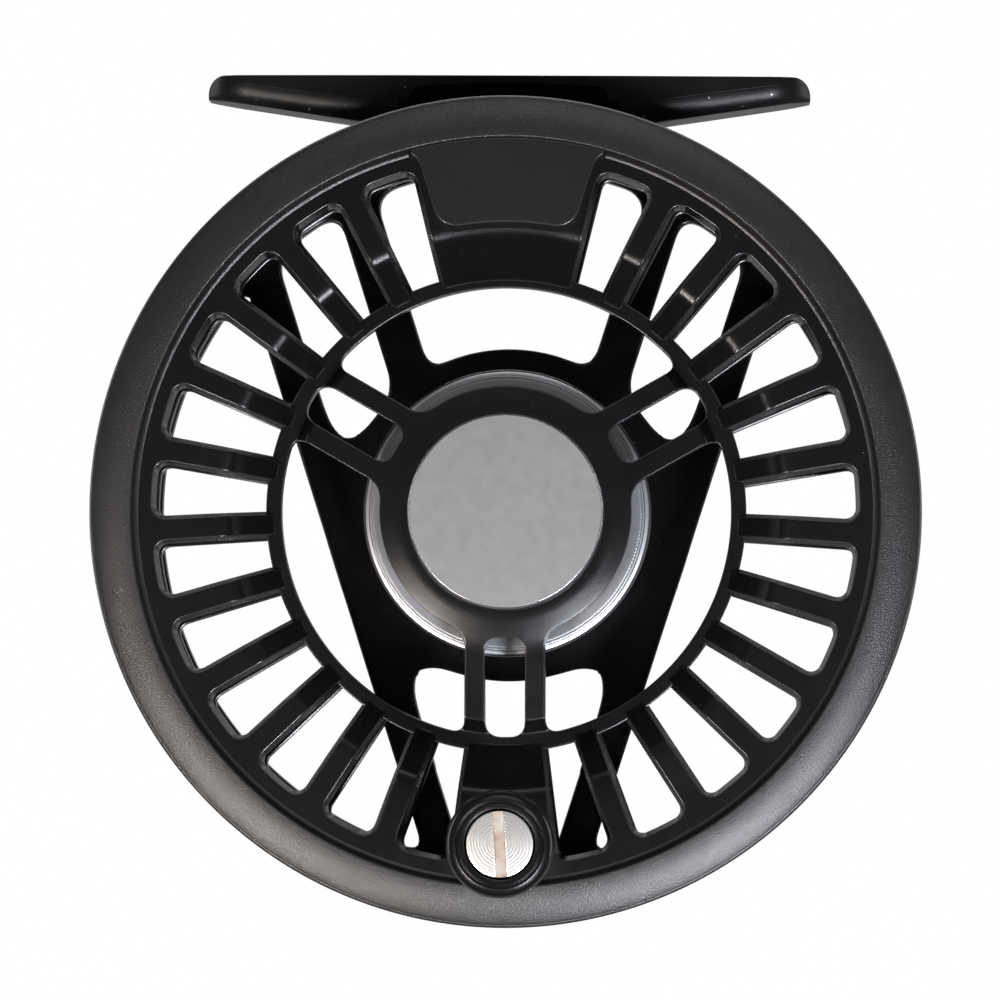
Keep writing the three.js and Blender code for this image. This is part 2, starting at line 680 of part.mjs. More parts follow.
// An arched undercut below each long side, over the top of the spool, that slopes in towards the bridge.
function footRelief(side) {
  const reliefRadius = 50;
  const half = 13;
  const slope = 0.9;
  const over = arc(reliefRadius, -half, half, 8).map((point) => [point, 0]);
  const under = arc(43, half, -half, 8).map((point) => [point, 0]);
  const arch = plate(outline([...over, ...under]), -9, 9).translate([0, 0, -AXIS_BELOW_SEAT]);
  return arch.trimByPlane([0, side, -slope], (FOOT_HALF_WIDTH - slope * 0.2) / Math.hypot(1, slope));
}

function onFoot(profile, segments, x) {
  return turned(profile, segments).rotate([90, 0, 0]).translate([x, 0, 0]);
}

const screwXs = [-FOOT_SCREW_X, FOOT_SCREW_X];
const countersink = [[0, 1], [2.9, 1], [2.9, -0.4], [1.65, -1.7], [1.65, -6], [0, -6]];
const screwSide = [[0, -0.3], [2.7, -0.3], [2.7, -0.5], [1.4, -1.8], [1.4, -5.4], [0, -5.4]];
const socketSide = [[0, 1], [1.1, 1], [1.1, -1.3], [0, -1.3]];
add(root, 'reel_foot', cut(
  footSide().intersect(footPlan()).intersect(footSection()),
  [footRelief(-1), footRelief(1), ...screwXs.map((x) => onFoot(countersink, SMALL_ROUND, x))],
), BLACK);
screwXs.forEach((x, i) => {
  const screw = onFoot(screwSide, SMALL_ROUND, x).subtract(onFoot(socketSide, 6, x));
  add(root, `foot_screw_${i + 1}`, screw, STEEL);
});

export default root;
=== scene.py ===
"""Looks of a large-arbor fly reel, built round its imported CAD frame.

Sizes in the building functions are millimetres in the reel's own frame. There x is to the right and
z up from the spool axis, as seen from the handle side, and depth runs back from the front face of
the spool rim.
"""

import json
import math

import bmesh
import bpy
import numpy as np
from mathutils import Matrix, Quaternion, Vector


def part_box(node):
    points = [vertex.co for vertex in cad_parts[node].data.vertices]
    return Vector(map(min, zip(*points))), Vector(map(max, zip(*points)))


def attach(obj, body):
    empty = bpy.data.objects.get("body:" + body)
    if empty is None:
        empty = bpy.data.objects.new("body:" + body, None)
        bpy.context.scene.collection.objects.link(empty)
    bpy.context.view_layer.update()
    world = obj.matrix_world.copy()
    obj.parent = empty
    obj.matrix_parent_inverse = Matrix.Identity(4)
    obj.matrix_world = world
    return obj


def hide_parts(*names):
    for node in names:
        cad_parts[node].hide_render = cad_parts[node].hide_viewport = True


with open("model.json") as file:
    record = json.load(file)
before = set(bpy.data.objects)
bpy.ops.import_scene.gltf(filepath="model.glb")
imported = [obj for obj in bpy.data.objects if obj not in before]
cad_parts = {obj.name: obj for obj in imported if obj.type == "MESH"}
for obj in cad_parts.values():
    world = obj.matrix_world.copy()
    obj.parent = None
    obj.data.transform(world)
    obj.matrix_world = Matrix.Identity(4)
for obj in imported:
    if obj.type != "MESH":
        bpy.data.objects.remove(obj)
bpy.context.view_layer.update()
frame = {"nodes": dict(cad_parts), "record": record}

# ---- The reel's own frame, from the CAD boxes ----
MM = 0.001
face_low, face_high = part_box("spool_face")
AXIS = Vector(((face_low.x + face_high.x) / 2, face_low.y, (face_low.z + face_high.z) / 2))
RIM_RADIUS = (face_high.x - face_low.x) / 2 / MM


def depth_range(node):
    """The front and back depth of a CAD node."""
    low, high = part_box(node)
    return (low.y - AXIS.y) / MM, (high.y - AXIS.y) / MM


def radius_of(node):
    low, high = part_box(node)
    return (high.x - low.x) / 2 / MM


RIM_BACK = depth_range("spool_face")[1]
FLANGE_FRONT, FLANGE_BACK = depth_range("spool_rear_flange")
FLANGE_RADIUS = radius_of("spool_rear_flange")
ARBOR_RADIUS = radius_of("spool_arbor")
ARBOR_INNER = ARBOR_RADIUS - 1.8
PLATE_FRONT, BOSS_BACK = depth_range("frame_back_plate")
PLATE_BACK = PLATE_FRONT + 3
FRAME_RADIUS = radius_of("frame_back_plate")
CAP_RADIUS = radius_of("spool_cap")
CAP_FRONT = depth_range("spool_cap")[0]
HOUSING_RADIUS = radius_of("drag_housing")
HANDLE_TIP, HANDLE_FOOT = depth_range("handle_knob")
HANDLE_RADIUS = radius_of("handle_knob")
KNOB_FRONT, KNOB_BACK = depth_range("drag_knob")
KNOB_RADIUS = radius_of("drag_knob")

# The spool's face: depth of the spokes, the step up to the rim, and the bend down to the arbor.
SPOKE_FRONT = 1.1
SPOKE_BACK = 3.8
STEP_FOOT = 41.7
STEP_TOP = 42.8
KINK = 32.0
ARBOR_FRONT = 6.15
CROWN = 0.046

# Its hub: a ring round the cap and three pairs of struts.
HUB_RADIUS = 14.4
HUB_BORE = CAP_RADIUS + 0.05
STRUT_ANGLES = (60, 180, 300)
STRUT_OFFSET = 3.46
STRUT_HALF = 1.16

# Its windows: 27 places round the axis, of which the handle takes one and the counterweight two.
PLACES = 27
PITCH = 360 / PLACES
WINDOWS_A_SIDE = 12
FACE_WINDOW_OUTER = 40.0
REAR_WINDOW_OUTER = 40.8
WINDOW_DRAFT = 0.42
WINDOW_ROUNDING = 1.25
NARROW_END = 27.6
NARROW_HALF_WIDTH = 1.66
WIDENING = 0.1093
SIDE_COSINE = 0.994


# ---- Mesh making ----
def make_piece(name, shape, materials, body, nodes=(), sharp=32, matrix=None):
    """A piece of the object, riding on a body.

    shape is its points in the reel's frame (x, depth, z), its faces and, where it has two materials, a
    material index for each face.
    """
    verts, faces, *face_materials = shape
    points = np.array(verts, float).reshape(-1, 3)
    if matrix is not None:
        points = points @ np.array(matrix)[:3, :3].T + np.array(matrix)[:3, 3]
    points = points * MM + np.array(AXIS)
    mesh = bpy.data.meshes.new(name)
    mesh.from_pydata(points.tolist(), [], [list(map(int, f)) for f in faces])
    for material in materials:
        mesh.materials.append(material)
    if face_materials:
        mesh.polygons.foreach_set("material_index", np.array(face_materials[0], np.int32))
    work = bmesh.new()
    work.from_mesh(mesh)
    bmesh.ops.dissolve_degenerate(work, dist=1e-7, edges=work.edges)
    bmesh.ops.recalc_face_normals(work, faces=work.faces)
    work.to_mesh(mesh)
    work.free()
    mesh.shade_smooth()
    mesh.set_sharp_from_angle(angle=math.radians(sharp))
    piece = bpy.data.objects.new(name, mesh)
    bpy.context.scene.collection.objects.link(piece)
    weighted = piece.modifiers.new("even_normals", "WEIGHTED_NORMAL")
    weighted.keep_sharp = True
    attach(piece, body)
    if nodes:
        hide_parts(*nodes)
    return piece


def rounded_path(corners, steps=4, closed=True):
    """Points of a path through corners (a, b, rounding), with each rounded corner as a short curve."""
    path = []
    count = len(corners)
    for i, (a, b, rounding) in enumerate(corners):
        here = np.array([a, b], float)
        if rounding <= 0 or (not closed and i in (0, count - 1)):
            path.append(here)
            continue
        before = np.array(corners[i - 1][:2], float) - here
        after = np.array(corners[(i + 1) % count][:2], float) - here
        start = here + before / np.linalg.norm(before) * rounding
        end = here + after / np.linalg.norm(after) * rounding
        for t in np.linspace(0, 1, steps + 1):
            path.append((1 - t) ** 2 * start + 2 * t * (1 - t) * here + t ** 2 * end)
    return np.array(path)


def turned(corners, segments=144, steps=4, centre=(0, 0), wave=None):
    """Points and faces of a closed profile (radius, depth, rounding) turned round an axis.

    The axis runs through centre. wave(angle, radius, depth) may shift the radius, for teeth and scallops.
    """
    profile = rounded_path(corners, steps)
    angles = np.arange(segments) * 2 * math.pi / segments
    radius = np.tile(profile[:, 0], (segments, 1))
    depth = np.tile(profile[:, 1], (segments, 1))
    if wave is not None:
        radius = radius + wave(angles[:, None], radius, depth)
    x = centre[0] + radius * np.sin(angles)[:, None]
    z = centre[1] + radius * np.cos(angles)[:, None]
    verts = np.stack([x, depth, z], -1).reshape(-1, 3)
    rows = len(profile)
    faces = []
    for i in range(segments):
        here, there = i * rows, (i + 1) % segments * rows
        for j in range(rows):
            k = (j + 1) % rows
            faces.append((here + j, here + k, there + k, there + j))
    return verts, faces


def disc_profile(corners):
    """A profile that reaches the axis, opened there by a tiny pinhole so that it stays quads."""
    return [(max(radius, 0.02), depth, rounding) for radius, depth, rounding in corners]


def loft(loops):
    """Points and faces through closed loops of equal length, with the ends closed."""
    loops = np.array(loops, float)
    count, size = loops.shape[:2]
    faces = []
    for i in range(count - 1):
        for j in range(size):
            k = (j + 1) % size
            faces.append((i * size + j, i * size + k, (i + 1) * size + k, (i + 1) * size + j))
    faces.append(tuple(range(size)))
    faces.append(tuple(reversed(range((count - 1) * size, count * size))))
    return loops.reshape(-1, 3), faces


def polar_grid(radii, angles):
    return np.stack([np.outer(radii, np.sin(angles)), np.outer(radii, np.cos(angles))], -1)


def full_turn(columns):
    return np.arange(columns) * 2 * math.pi / columns


def square_grid(half_width, low, high, cell):
    xs = np.arange(-half_width, half_width + cell, cell)
    zs = np.arange(low, high + cell, cell)
    return np.stack(np.meshgrid(xs, zs, indexing="ij"), -1)


def outward(field, points):
    """The direction in which field grows, at each point."""
    step = 1e-3
    right, up = np.array([step, 0]), np.array([0, step])
    rise_right = field(points + right) - field(points - right)
    rise_up = field(points + up) - field(points - up)
    slope = np.stack([rise_right, rise_up], -1)
    return slope / np.maximum(np.linalg.norm(slope, axis=-1, keepdims=True), 1e-12)


def snap_to_outline(points, field, reach):
    """Moves the points within reach of the outline onto it. Returns every point's field value."""
    value = field(points)
    near = np.abs(value) < reach
    for _ in range(3):
        points[near] -= field(points[near])[:, None] * outward(field, points[near])
    value[near] = 0.0
    return value


def grid_cells(rows, columns, wrap):
    """The point numbers at each cell's corners. With wrap, the last column joins the first."""
    index = np.arange(rows * columns).reshape(rows, columns)
    last = columns if wrap else columns - 1
    right = np.roll(index, -1, axis=1)[:, :last]
    return np.stack([index[:-1, :last], index[1:, :last], right[1:], right[:-1]], -1).reshape(-1, 4)


def clip_cells(cells, value, first_new):
    """The cells inside the outline, and the inside part of each cell that it crosses.

    Returns the polygons, and the grid edges that are crossed with the number of the new point on each.
    """
    touched = (value[cells] < 0).any(1)
    whole = (value[cells] <= 0).all(1) & touched
    polygons = [tuple(c) for c in cells[whole]]
    crossings = {}
    for corners in cells[touched & ~whole]:
        ring = []
        for k in range(4):
            a, b = corners[k], corners[(k + 1) % 4]
            if value[a] <= 0:
                ring.append(int(a))
            if (value[a] < 0 < value[b]) or (value[b] < 0 < value[a]):
                key = (min(a, b), max(a, b))
                ring.append(crossings.setdefault(key, first_new + len(crossings)))
        if len(ring) >= 3:
            polygons.append(tuple(ring))
    return polygons, crossings


def crossing_points(points, value, crossings, field):
    """Where the outline crosses the grid edges, found by halving."""
    ends = np.array(list(crossings))
    low, high = points[ends[:, 0]].copy(), points[ends[:, 1]].copy()
    flip = value[ends[:, 0]] > 0
    low[flip], high[flip] = high[flip].copy(), low[flip].copy()
    for _ in range(18):
        middle = (low + high) / 2
        out = field(middle) > 0
        high[out], low[~out] = middle[out], middle[~out]
    return (low + high) / 2


def compact(points, polygons):
    """Only the points that the polygons use, and the polygons renumbered."""
    used = np.unique(np.concatenate([np.array(p) for p in polygons]))
    renumber = np.full(len(points), -1)
    renumber[used] = np.arange(len(used))
    return points[used], [tuple(int(v) for v in renumber[list(p)]) for p in polygons]


def clip_grid(grid, field, cell, wrap):
    """The part of a grid where field(points) is negative, as points and polygons of one turning sense."""
    rows, columns = grid.shape[:2]
    points = grid.reshape(-1, 2).copy()
    value = snap_to_outline(points, field, 0.32 * cell)
    polygons, crossings = clip_cells(grid_cells(rows, columns, wrap), value, rows * columns)
    if crossings:
        points = np.vstack([points, crossing_points(points, value, crossings, field)])
    a, b, c = (points[polygons[0][k]] for k in range(3))
    if (b[0] - a[0]) * (c[1] - b[1]) - (b[1] - a[1]) * (c[0] - b[0]) < 0:
        polygons = [tuple(reversed(p)) for p in polygons]
    return compact(points, polygons)


def wall_levels(front_depth, back_depth, bevel, draft, bevel_steps):
    """Rings down a plate's wall: outward offset, depth, and 1 where the ring ends a rounded edge."""
    turns = np.linspace(0, math.pi / 2, bevel_steps + 1)[1:]
    levels = [(bevel * math.sin(t), front_depth + bevel * (1 - math.cos(t)), 1) for t in turns]
    levels += [(draft + bevel, back_depth - bevel, 0)]
    return levels + [
        (draft + bevel * math.cos(t), back_depth - bevel * (1 - math.sin(t)), 1) for t in turns]


def cut_plate(grid, field, front, back, cell, bevel=0.15, draft=0.0, wrap=False, bevel_steps=3):
    """A plate between two depth surfaces, where field(points) is negative, with rounded edges.

    The grid's points near the outline are moved onto it, and the cells that it crosses are clipped.
    The wall leans outwards by draft from front to back. Returns points, faces and a material index
    for each face, which is 1 on the rounded edges.
    """
    points, polygons = clip_grid(grid, lambda p: field(p) + bevel, cell, wrap)
    directed = {(p[k], p[(k + 1) % len(p)]) for p in polygons for k in range(len(p))}
    edges = sorted((s, e) for s, e in directed if (e, s) not in directed)
    border = sorted({v for edge in edges for v in edge})
    place_of = {v: k for k, v in enumerate(border)}
    base = points[border]
    normal = outward(field, base)
    levels = wall_levels(front(base), back(base), bevel, draft, bevel_steps)
    verts = [np.stack([points[:, 0], front(points), points[:, 1]], -1)]
    for offset, depth, _ in levels:
        moved = base + normal * offset
        verts.append(np.stack([moved[:, 0], depth, moved[:, 1]], -1))
    verts.append(np.stack([points[:, 0], back(points), points[:, 1]], -1))

    def ring_start(level):
        return len(points) + level * len(border)

    def above(v, level):
        return v if level == 0 else ring_start(level - 1) + place_of[v]

    faces, kinds = list(polygons), [0] * len(polygons)
    for level, (_, _, kind) in enumerate(levels):
        lower = ring_start(level)
        for s, e in edges:
            faces.append((above(e, level), above(s, level), lower + place_of[s], lower + place_of[e]))
            kinds.append(kind)

    def behind(v):
        return ring_start(len(levels) - 1) + place_of[v] if v in place_of else ring_start(len(levels)) + v

    faces += [tuple(behind(v) for v in reversed(p)) for p in polygons]
    kinds += [0] * len(polygons)
    verts, faces = compact(np.vstack(verts), faces)
    return verts, faces, kinds


def level_at(depth):
    """A flat surface for cut_plate."""
    return lambda points: np.full(len(points), depth)


def interpolate(profile):
    """A turned surface for cut_plate, from a profile of (radius, depth)."""
    return lambda points: np.interp(length2(points), profile[:, 0], profile[:, 1])


# ---- Signed distances, negative inside ----
def length2(points):
    return np.linalg.norm(points, axis=-1)


def smooth_union(a, b, size):
    """The union of two shapes with a fillet of about that size where they meet."""
    h = np.clip(0.5 + 0.5 * (b - a) / size, 0, 1)
    return b * (1 - h) + a * h - size * h * (1 - h)


def rounded_both(a, b, radius):
    """The part inside both half planes, with their corner rounded."""
    outside = np.hypot(np.maximum(a + radius, 0), np.maximum(b + radius, 0))
    return np.minimum(np.maximum(a + radius, b + radius), 0) + outside - radius


def turn_frame(points, degrees):
    """Coordinates along (up) and across a direction given clockwise from the top."""
    s, c = math.sin(math.radians(degrees)), math.cos(math.radians(degrees))
    return points[..., 0] * c - points[..., 1] * s, points[..., 0] * s + points[..., 1] * c


def window_field(points, outer):
    """Negative inside the spool's windows, at the back of their drafted walls.

    Their places count from the handle, at the bottom, round both sides.
    """
    angle = np.degrees(np.arctan2(points[..., 0], points[..., 1])) - 180
    angle = (angle + 180) % 360 - 180
    nearest = np.round(angle / PITCH)
    last = PLACES // 2
    radius = length2(points)
    best = np.full(radius.shape, 1e3)
    for shift in (-1, 0, 1):
        place = np.clip(nearest + shift, -last, last)
        real = (np.abs(place) >= 1) & (np.abs(place) <= WINDOWS_A_SIDE)
        off = np.radians(angle - place * PITCH)
        across, along = radius * np.sin(off), radius * np.cos(off)
        half_width = NARROW_HALF_WIDTH + (along - NARROW_END) * WIDENING
        side = (np.abs(across) - half_width) * SIDE_COSINE
        shape = rounded_both(side, radius - outer, WINDOW_ROUNDING)
        best = np.where(real, np.minimum(best, shape), best)
    return best


# ---- Materials ----
def new_material(name):
    material = bpy.data.materials.new(name)
    material.use_nodes = True
    tree = material.node_tree
    shader = tree.nodes["Principled BSDF"]
    coords = tree.nodes.new("ShaderNodeTexCoord")
    return material, tree, shader, coords.outputs["Object"]


def noise(tree, coords, scale, detail=2.0, roughness=0.5):
    node = tree.nodes.new("ShaderNodeTexNoise")
    node.inputs["Scale"].default_value = scale
    node.inputs["Detail"].default_value = detail
    node.inputs["Roughness"].default_value = roughness
    tree.links.new(coords, node.inputs["Vector"])
    return node.outputs["Fac"]


def ramp(tree, value, stops):
    """A colour ramp of (position, colour) stops."""
    node = tree.nodes.new("ShaderNodeValToRGB")
    elements = node.color_ramp.elements
    while len(elements) < len(stops):
        elements.new(0.5)
    for element, (position, colour) in zip(elements, stops):
        element.position = position
        element.color = (*colour, 1) if len(colour) == 3 else colour
    tree.links.new(value, node.inputs["Fac"])
    return node.outputs["Color"]


def grey(level):
    return (level, level, level)


def stretch(tree, value, low, high):
    """Maps 0..1 to low..high."""
    node = tree.nodes.new("ShaderNodeMapRange")
    node.inputs["To Min"].default_value = low
    node.inputs["To Max"].default_value = high
    tree.links.new(value, node.inputs["Value"])
    return node.outputs["Result"]


def bump(tree, shader, height, distance, strength=1.0, under=None):
    node = tree.nodes.new("ShaderNodeBump")
    node.inputs["Distance"].default_value = distance
    node.inputs["Strength"].default_value = strength
    tree.links.new(height, node.inputs["Height"])
    if under is not None:
        tree.links.new(under, node.inputs["Normal"])
    tree.links.new(node.outputs["Normal"], shader.inputs["Normal"])
    return node.outputs["Normal"]


def math_node(tree, operation, first, second):
    node = tree.nodes.new("ShaderNodeMath")
    node.operation = operation
    tree.links.new(first, node.inputs[0])
    if isinstance(second, float):
        node.inputs[1].default_value = second
    else:
        tree.links.new(second, node.inputs[1])
    return node.outputs[0]


def specks(tree, coords, scale, size, share):
    """1 in small sparse dots, such as dust: about share of the cells hold one."""
    cells = tree.nodes.new("ShaderNodeTexVoronoi")
    cells.inputs["Scale"].default_value = scale
    tree.links.new(coords, cells.inputs["Vector"])
    split = tree.nodes.new("ShaderNodeSeparateColor")
    tree.links.new(cells.outputs["Color"], split.inputs["Color"])
    dot = math_node(tree, "LESS_THAN", cells.outputs["Distance"], size)
    chosen = math_node(tree, "LESS_THAN", split.outputs["Red"], share)
    return math_node(tree, "MULTIPLY", dot, chosen)


def mix(tree, factor, first, second):
    node = tree.nodes.new("ShaderNodeMix")
    node.data_type = "RGBA"
    tree.links.new(factor, node.inputs["Factor"])
    for socket, colour in ((node.inputs[6], first), (node.inputs[7], second)):
        if isinstance(colour, tuple):
            socket.default_value = (*colour, 1)
        else:
            tree.links.new(colour, socket)
    return node.outputs[2]


def black_anodised(name, dark, light, roughness, grain, specular, dust=0.012):
    """Black anodised aluminium: fine etched grain, uneven sheen and a little dust."""
    material, tree, shader, coords = new_material(name)
    cloud = noise(tree, coords, 90, 3)
    tone = ramp(tree, cloud, [(0.3, dark), (0.7, light)])
    dots = specks(tree, coords, 1300, 0.1, dust)
    tree.links.new(mix(tree, dots, tone, (0.09, 0.09, 0.095)), shader.inputs["Base Color"])
    fine = noise(tree, coords, 6500, 2, 0.6)
    sheen = stretch(tree, noise(tree, coords, 260, 4, 0.6), roughness - 0.06, roughness + 0.07)
    tree.links.new(sheen, shader.inputs["Roughness"])
    shader.inputs["Specular IOR Level"].default_value = specular
    bump(tree, shader, fine, grain)
    return material


def bare_metal(name, dark, light, roughness):
    """Silver metal with faint clouds and a few bright specks."""
    material, tree, shader, coords = new_material(name)
    shader.inputs["Metallic"].default_value = 0.9
    tone = ramp(tree, noise(tree, coords, 140, 4), [(0.25, dark), (0.75, light)])
    tone = mix(tree, specks(tree, coords, 1500, 0.1, 0.01), tone, (0.97, 0.97, 0.97))
    tree.links.new(tone, shader.inputs["Base Color"])
    sheen = stretch(tree, noise(tree, coords, 800, 3), roughness - 0.02, roughness + 0.03)
    tree.links.new(sheen, shader.inputs["Roughness"])
    bump(tree, shader, noise(tree, coords, 4500, 2), 0.000002)
    return material


def turned_metal(name, dark, light, roughness, lines, centre):
    """Bare metal with fine turning marks round the depth axis through centre."""
    material = bare_metal(name, dark, light, roughness)
    tree = material.node_tree
    shader = tree.nodes["Principled BSDF"]
    tone, under = (shader.inputs[name].links[0].from_socket for name in ("Base Color", "Normal"))
    rings = tree.nodes.new("ShaderNodeTexWave")
    rings.wave_type = "RINGS"
    rings.rings_direction = "Y"
    rings.inputs["Scale"].default_value = lines
    rings.inputs["Distortion"].default_value = 9
    rings.inputs["Detail"].default_value = 4
    rings.inputs["Detail Scale"].default_value = 0.4
    coords = tree.nodes.new("ShaderNodeTexCoord")
    shifted = tree.nodes.new("ShaderNodeVectorMath")
    shifted.operation = "SUBTRACT"
    shifted.inputs[1].default_value = centre
    tree.links.new(coords.outputs["Object"], shifted.inputs[0])
    tree.links.new(shifted.outputs[0], rings.inputs["Vector"])
    bump(tree, shader, rings.outputs["Fac"], 0.000009, 0.8, under)
    marks = stretch(tree, rings.outputs["Fac"], 0, 0.22)
    tree.links.new(mix(tree, marks, tone, (0.36, 0.34, 0.31)), shader.inputs["Base Color"])
    return material


def plain_surface(name, dark, light, roughness, scale, grain, metallic=0.0):
    """A dull surface with clouds of the given scale and a finer grain."""
    material, tree, shader, coords = new_material(name)
    shader.inputs["Metallic"].default_value = metallic
    cloud = noise(tree, coords, scale, 4)
    tree.links.new(ramp(tree, cloud, [(0.3, dark), (0.7, light)]), shader.inputs["Base Color"])
    tree.links.new(stretch(tree, cloud, roughness - 0.06, roughness + 0.06), shader.inputs["Roughness"])
    bump(tree, shader, noise(tree, coords, scale * 8, 3), grain)
    return material


black_satin = black_anodised(
    "black_satin", (0.0034, 0.0033, 0.004), (0.0048, 0.0047, 0.0055), 0.22, grain=0.000014, specular=0.3)
black_matte = black_anodised(
    "black_matte", (0.0098, 0.0092, 0.0095), (0.0126, 0.0118, 0.0122), 0.29, grain=0.00004, specular=0.62)
black_pad = black_anodised(
    "black_pad", (0.0086, 0.0081, 0.0083), (0.0106, 0.01, 0.0103), 0.42, grain=0.000024, specular=0.2)
black_frame = black_anodised(
    "black_frame", (0.0014, 0.0014, 0.0019), (0.0024, 0.0024, 0.003), 0.26, grain=0.00001, specular=0.2)
# Rounded edges take a lighter black than the faces: partly edge wear, partly a painted edge highlight.
# They are also glossier.
black_edge_wear_and_highlight = black_anodised(
    "black_edge_wear_and_highlight", (0.008, 0.008, 0.009), (0.022, 0.022, 0.025), 0.22, grain=0.000006, specular=0.7,
    dust=0.0)
silver_satin = bare_metal("silver_satin", (0.56, 0.56, 0.565), (0.58, 0.58, 0.585), 0.31)
silver_bright = bare_metal("silver_bright", (0.52, 0.525, 0.55), (0.57, 0.575, 0.6), 0.31)
silver_edge = bare_metal("silver_edge", (0.62, 0.62, 0.64), (0.7, 0.7, 0.72), 0.25)
steel = bare_metal("steel", (0.5, 0.49, 0.47), (0.62, 0.61, 0.59), 0.28)
rubber = plain_surface("rubber", (0.012, 0.012, 0.012), (0.02, 0.02, 0.02), 0.7, 400, 0.00001)
carbon = plain_surface("carbon", (0.012, 0.012, 0.013), (0.035, 0.035, 0.038), 0.5, 900, 0.00001)
brass = plain_surface("brass", (0.42, 0.28, 0.1), (0.55, 0.38, 0.16), 0.3, 300, 0.000003, metallic=1.0)
slot_dirt = plain_surface("slot_dirt", (0.3, 0.2, 0.13), (0.5, 0.47, 0.43), 0.6, 480, 0.00003)


# ---- Spool ----
SPOKE_INNER = ARBOR_INNER + 0.75
FACE_OUTER = STEP_FOOT + 0.8
FACE_PROFILE = rounded_path([
    (SPOKE_INNER, ARBOR_FRONT - 0.04, 0), (KINK, SPOKE_FRONT, 1.1), (FACE_OUTER + 1, SPOKE_FRONT, 0),
], 6, closed=False)
FACE_BACK = rounded_path([
    (ARBOR_INNER, 8.9, 0), (KINK + 0.6, SPOKE_BACK, 1.2), (FACE_OUTER + 1, SPOKE_BACK, 0),
], 4, closed=False)


def build_spool_face():
    """The spokes between the windows, out to the foot of the rim."""
    coarse_end = 39.8
    rows = [np.arange(SPOKE_INNER, coarse_end, 0.4), FACE_PROFILE[1:-1, 0],
            np.arange(coarse_end, FACE_OUTER + 0.1, 0.16)]
    radii = np.unique(np.round(np.concatenate(rows), 2))

    def field(points):
        radius = length2(points)
        edges = np.maximum(radius - FACE_OUTER, SPOKE_INNER - radius)
        return np.maximum(WINDOW_DRAFT - window_field(points, FACE_WINDOW_OUTER), edges)

    shape = cut_plate(
        polar_grid(radii, full_turn(PLACES * 28)), field, interpolate(FACE_PROFILE),
        interpolate(FACE_BACK), cell=0.34, bevel=0.11, draft=WINDOW_DRAFT, wrap=True)
    make_piece("spool_spokes", shape, [black_satin, black_edge_wear_and_highlight], "spool",
               ["spool_face"])


def build_rim():
    """The outer rim: a small step up from the spokes, a crowned face with a fine edge line, and a lip."""
    lip = RIM_RADIUS - 1
    crown_start = STEP_TOP + 0.1
    crown_radii = np.linspace(crown_start + 0.4, RIM_RADIUS - 0.5, 10)
    crown = [(radius, CROWN * (radius - crown_start) ** 2, 0) for radius in crown_radii]
    edge = crown[-1][1]
    shape = turned([
        (STEP_FOOT, SPOKE_FRONT + 0.3, 0), (STEP_FOOT + 0.12, SPOKE_FRONT + 0.03, 0.03),
        (STEP_TOP - 0.5, SPOKE_FRONT - 0.12, 0.3), (STEP_TOP - 0.1, 0.1, 0.08),
        (STEP_TOP + 0.06, 0.0, 0.05), *crown, (RIM_RADIUS - 0.34, edge + 0.1, 0.04),
        (RIM_RADIUS - 0.2, edge + 0.13, 0.05), (RIM_RADIUS, edge + 0.4, 0.1),
        (RIM_RADIUS, RIM_BACK, 0.3), (lip, RIM_BACK, 0.2), (lip, 4.3, 0.5),
        (STEP_FOOT, SPOKE_BACK - 0.05, 0),
    ], segments=288, steps=5)
    make_piece("spool_rim", shape, [black_matte], "spool")


def build_rear_flange():
    outer, inner = FLANGE_RADIUS - 0.1, ARBOR_RADIUS - 0.4

    def field(points):
        radius = length2(points)
        edges = np.maximum(radius - outer, inner - radius)
        return np.maximum(-window_field(points, REAR_WINDOW_OUTER), edges)

    grid = polar_grid(np.arange(inner - 0.2, outer + 0.6, 0.5), full_turn(PLACES * 22))
    shape = cut_plate(
        grid, field, level_at(FLANGE_FRONT), level_at(FLANGE_BACK), cell=0.5, bevel=0.2, wrap=True,
        bevel_steps=2)
    make_piece("spool_rear", shape, [black_satin, black_edge_wear_and_highlight], "spool",
               ["spool_rear_flange"])


def build_arbor():
    inner, outer = ARBOR_RADIUS - 0.7, ARBOR_RADIUS - 0.05
    front = 9
    shape = turned([
        (inner, front, 0), (outer - 0.2, front, 0), (outer, front + 0.3, 0.1),
        (outer, FLANGE_BACK, 0.2), (inner, FLANGE_BACK, 0.2),
    ], segments=216, steps=3)
    make_piece("spool_arbor_drum", shape, [black_satin], "spool", ["spool_arbor"])


HUB_PROFILE = rounded_path([
    (HUB_BORE - 1, 2.0, 0), (12.1, 2.05, 0.7), (13.9, 2.42, 0.6), (15.7, 2.85, 0.8), (24.2, 3.6, 0.35),
    (25.3, ARBOR_FRONT, 0.35), (ARBOR_RADIUS + 1, ARBOR_FRONT, 0),
], 5, closed=False)
HUB_BACK_PROFILE = np.array([
    (HUB_BORE - 1, 6.6), (HUB_RADIUS + 1, 7.0), (23.5, 8.6), (ARBOR_INNER, 9.4), (30, 9.4),
])


def hub_field(points):
    """Hub ring, three pairs of struts and arbor ring, with fillets between them."""
    radius = length2(points)
    shape = smooth_union(radius - HUB_RADIUS, ARBOR_INNER - radius, 0.4)
    for angle in STRUT_ANGLES:
        across, along = turn_frame(points, angle)
        bar = np.maximum(np.abs(np.abs(across) - STRUT_OFFSET) - STRUT_HALF, -along)
        shape = smooth_union(shape, bar, 1.9)
    return np.maximum(shape, np.maximum(HUB_BORE - radius, radius - (ARBOR_RADIUS - 0.05)))


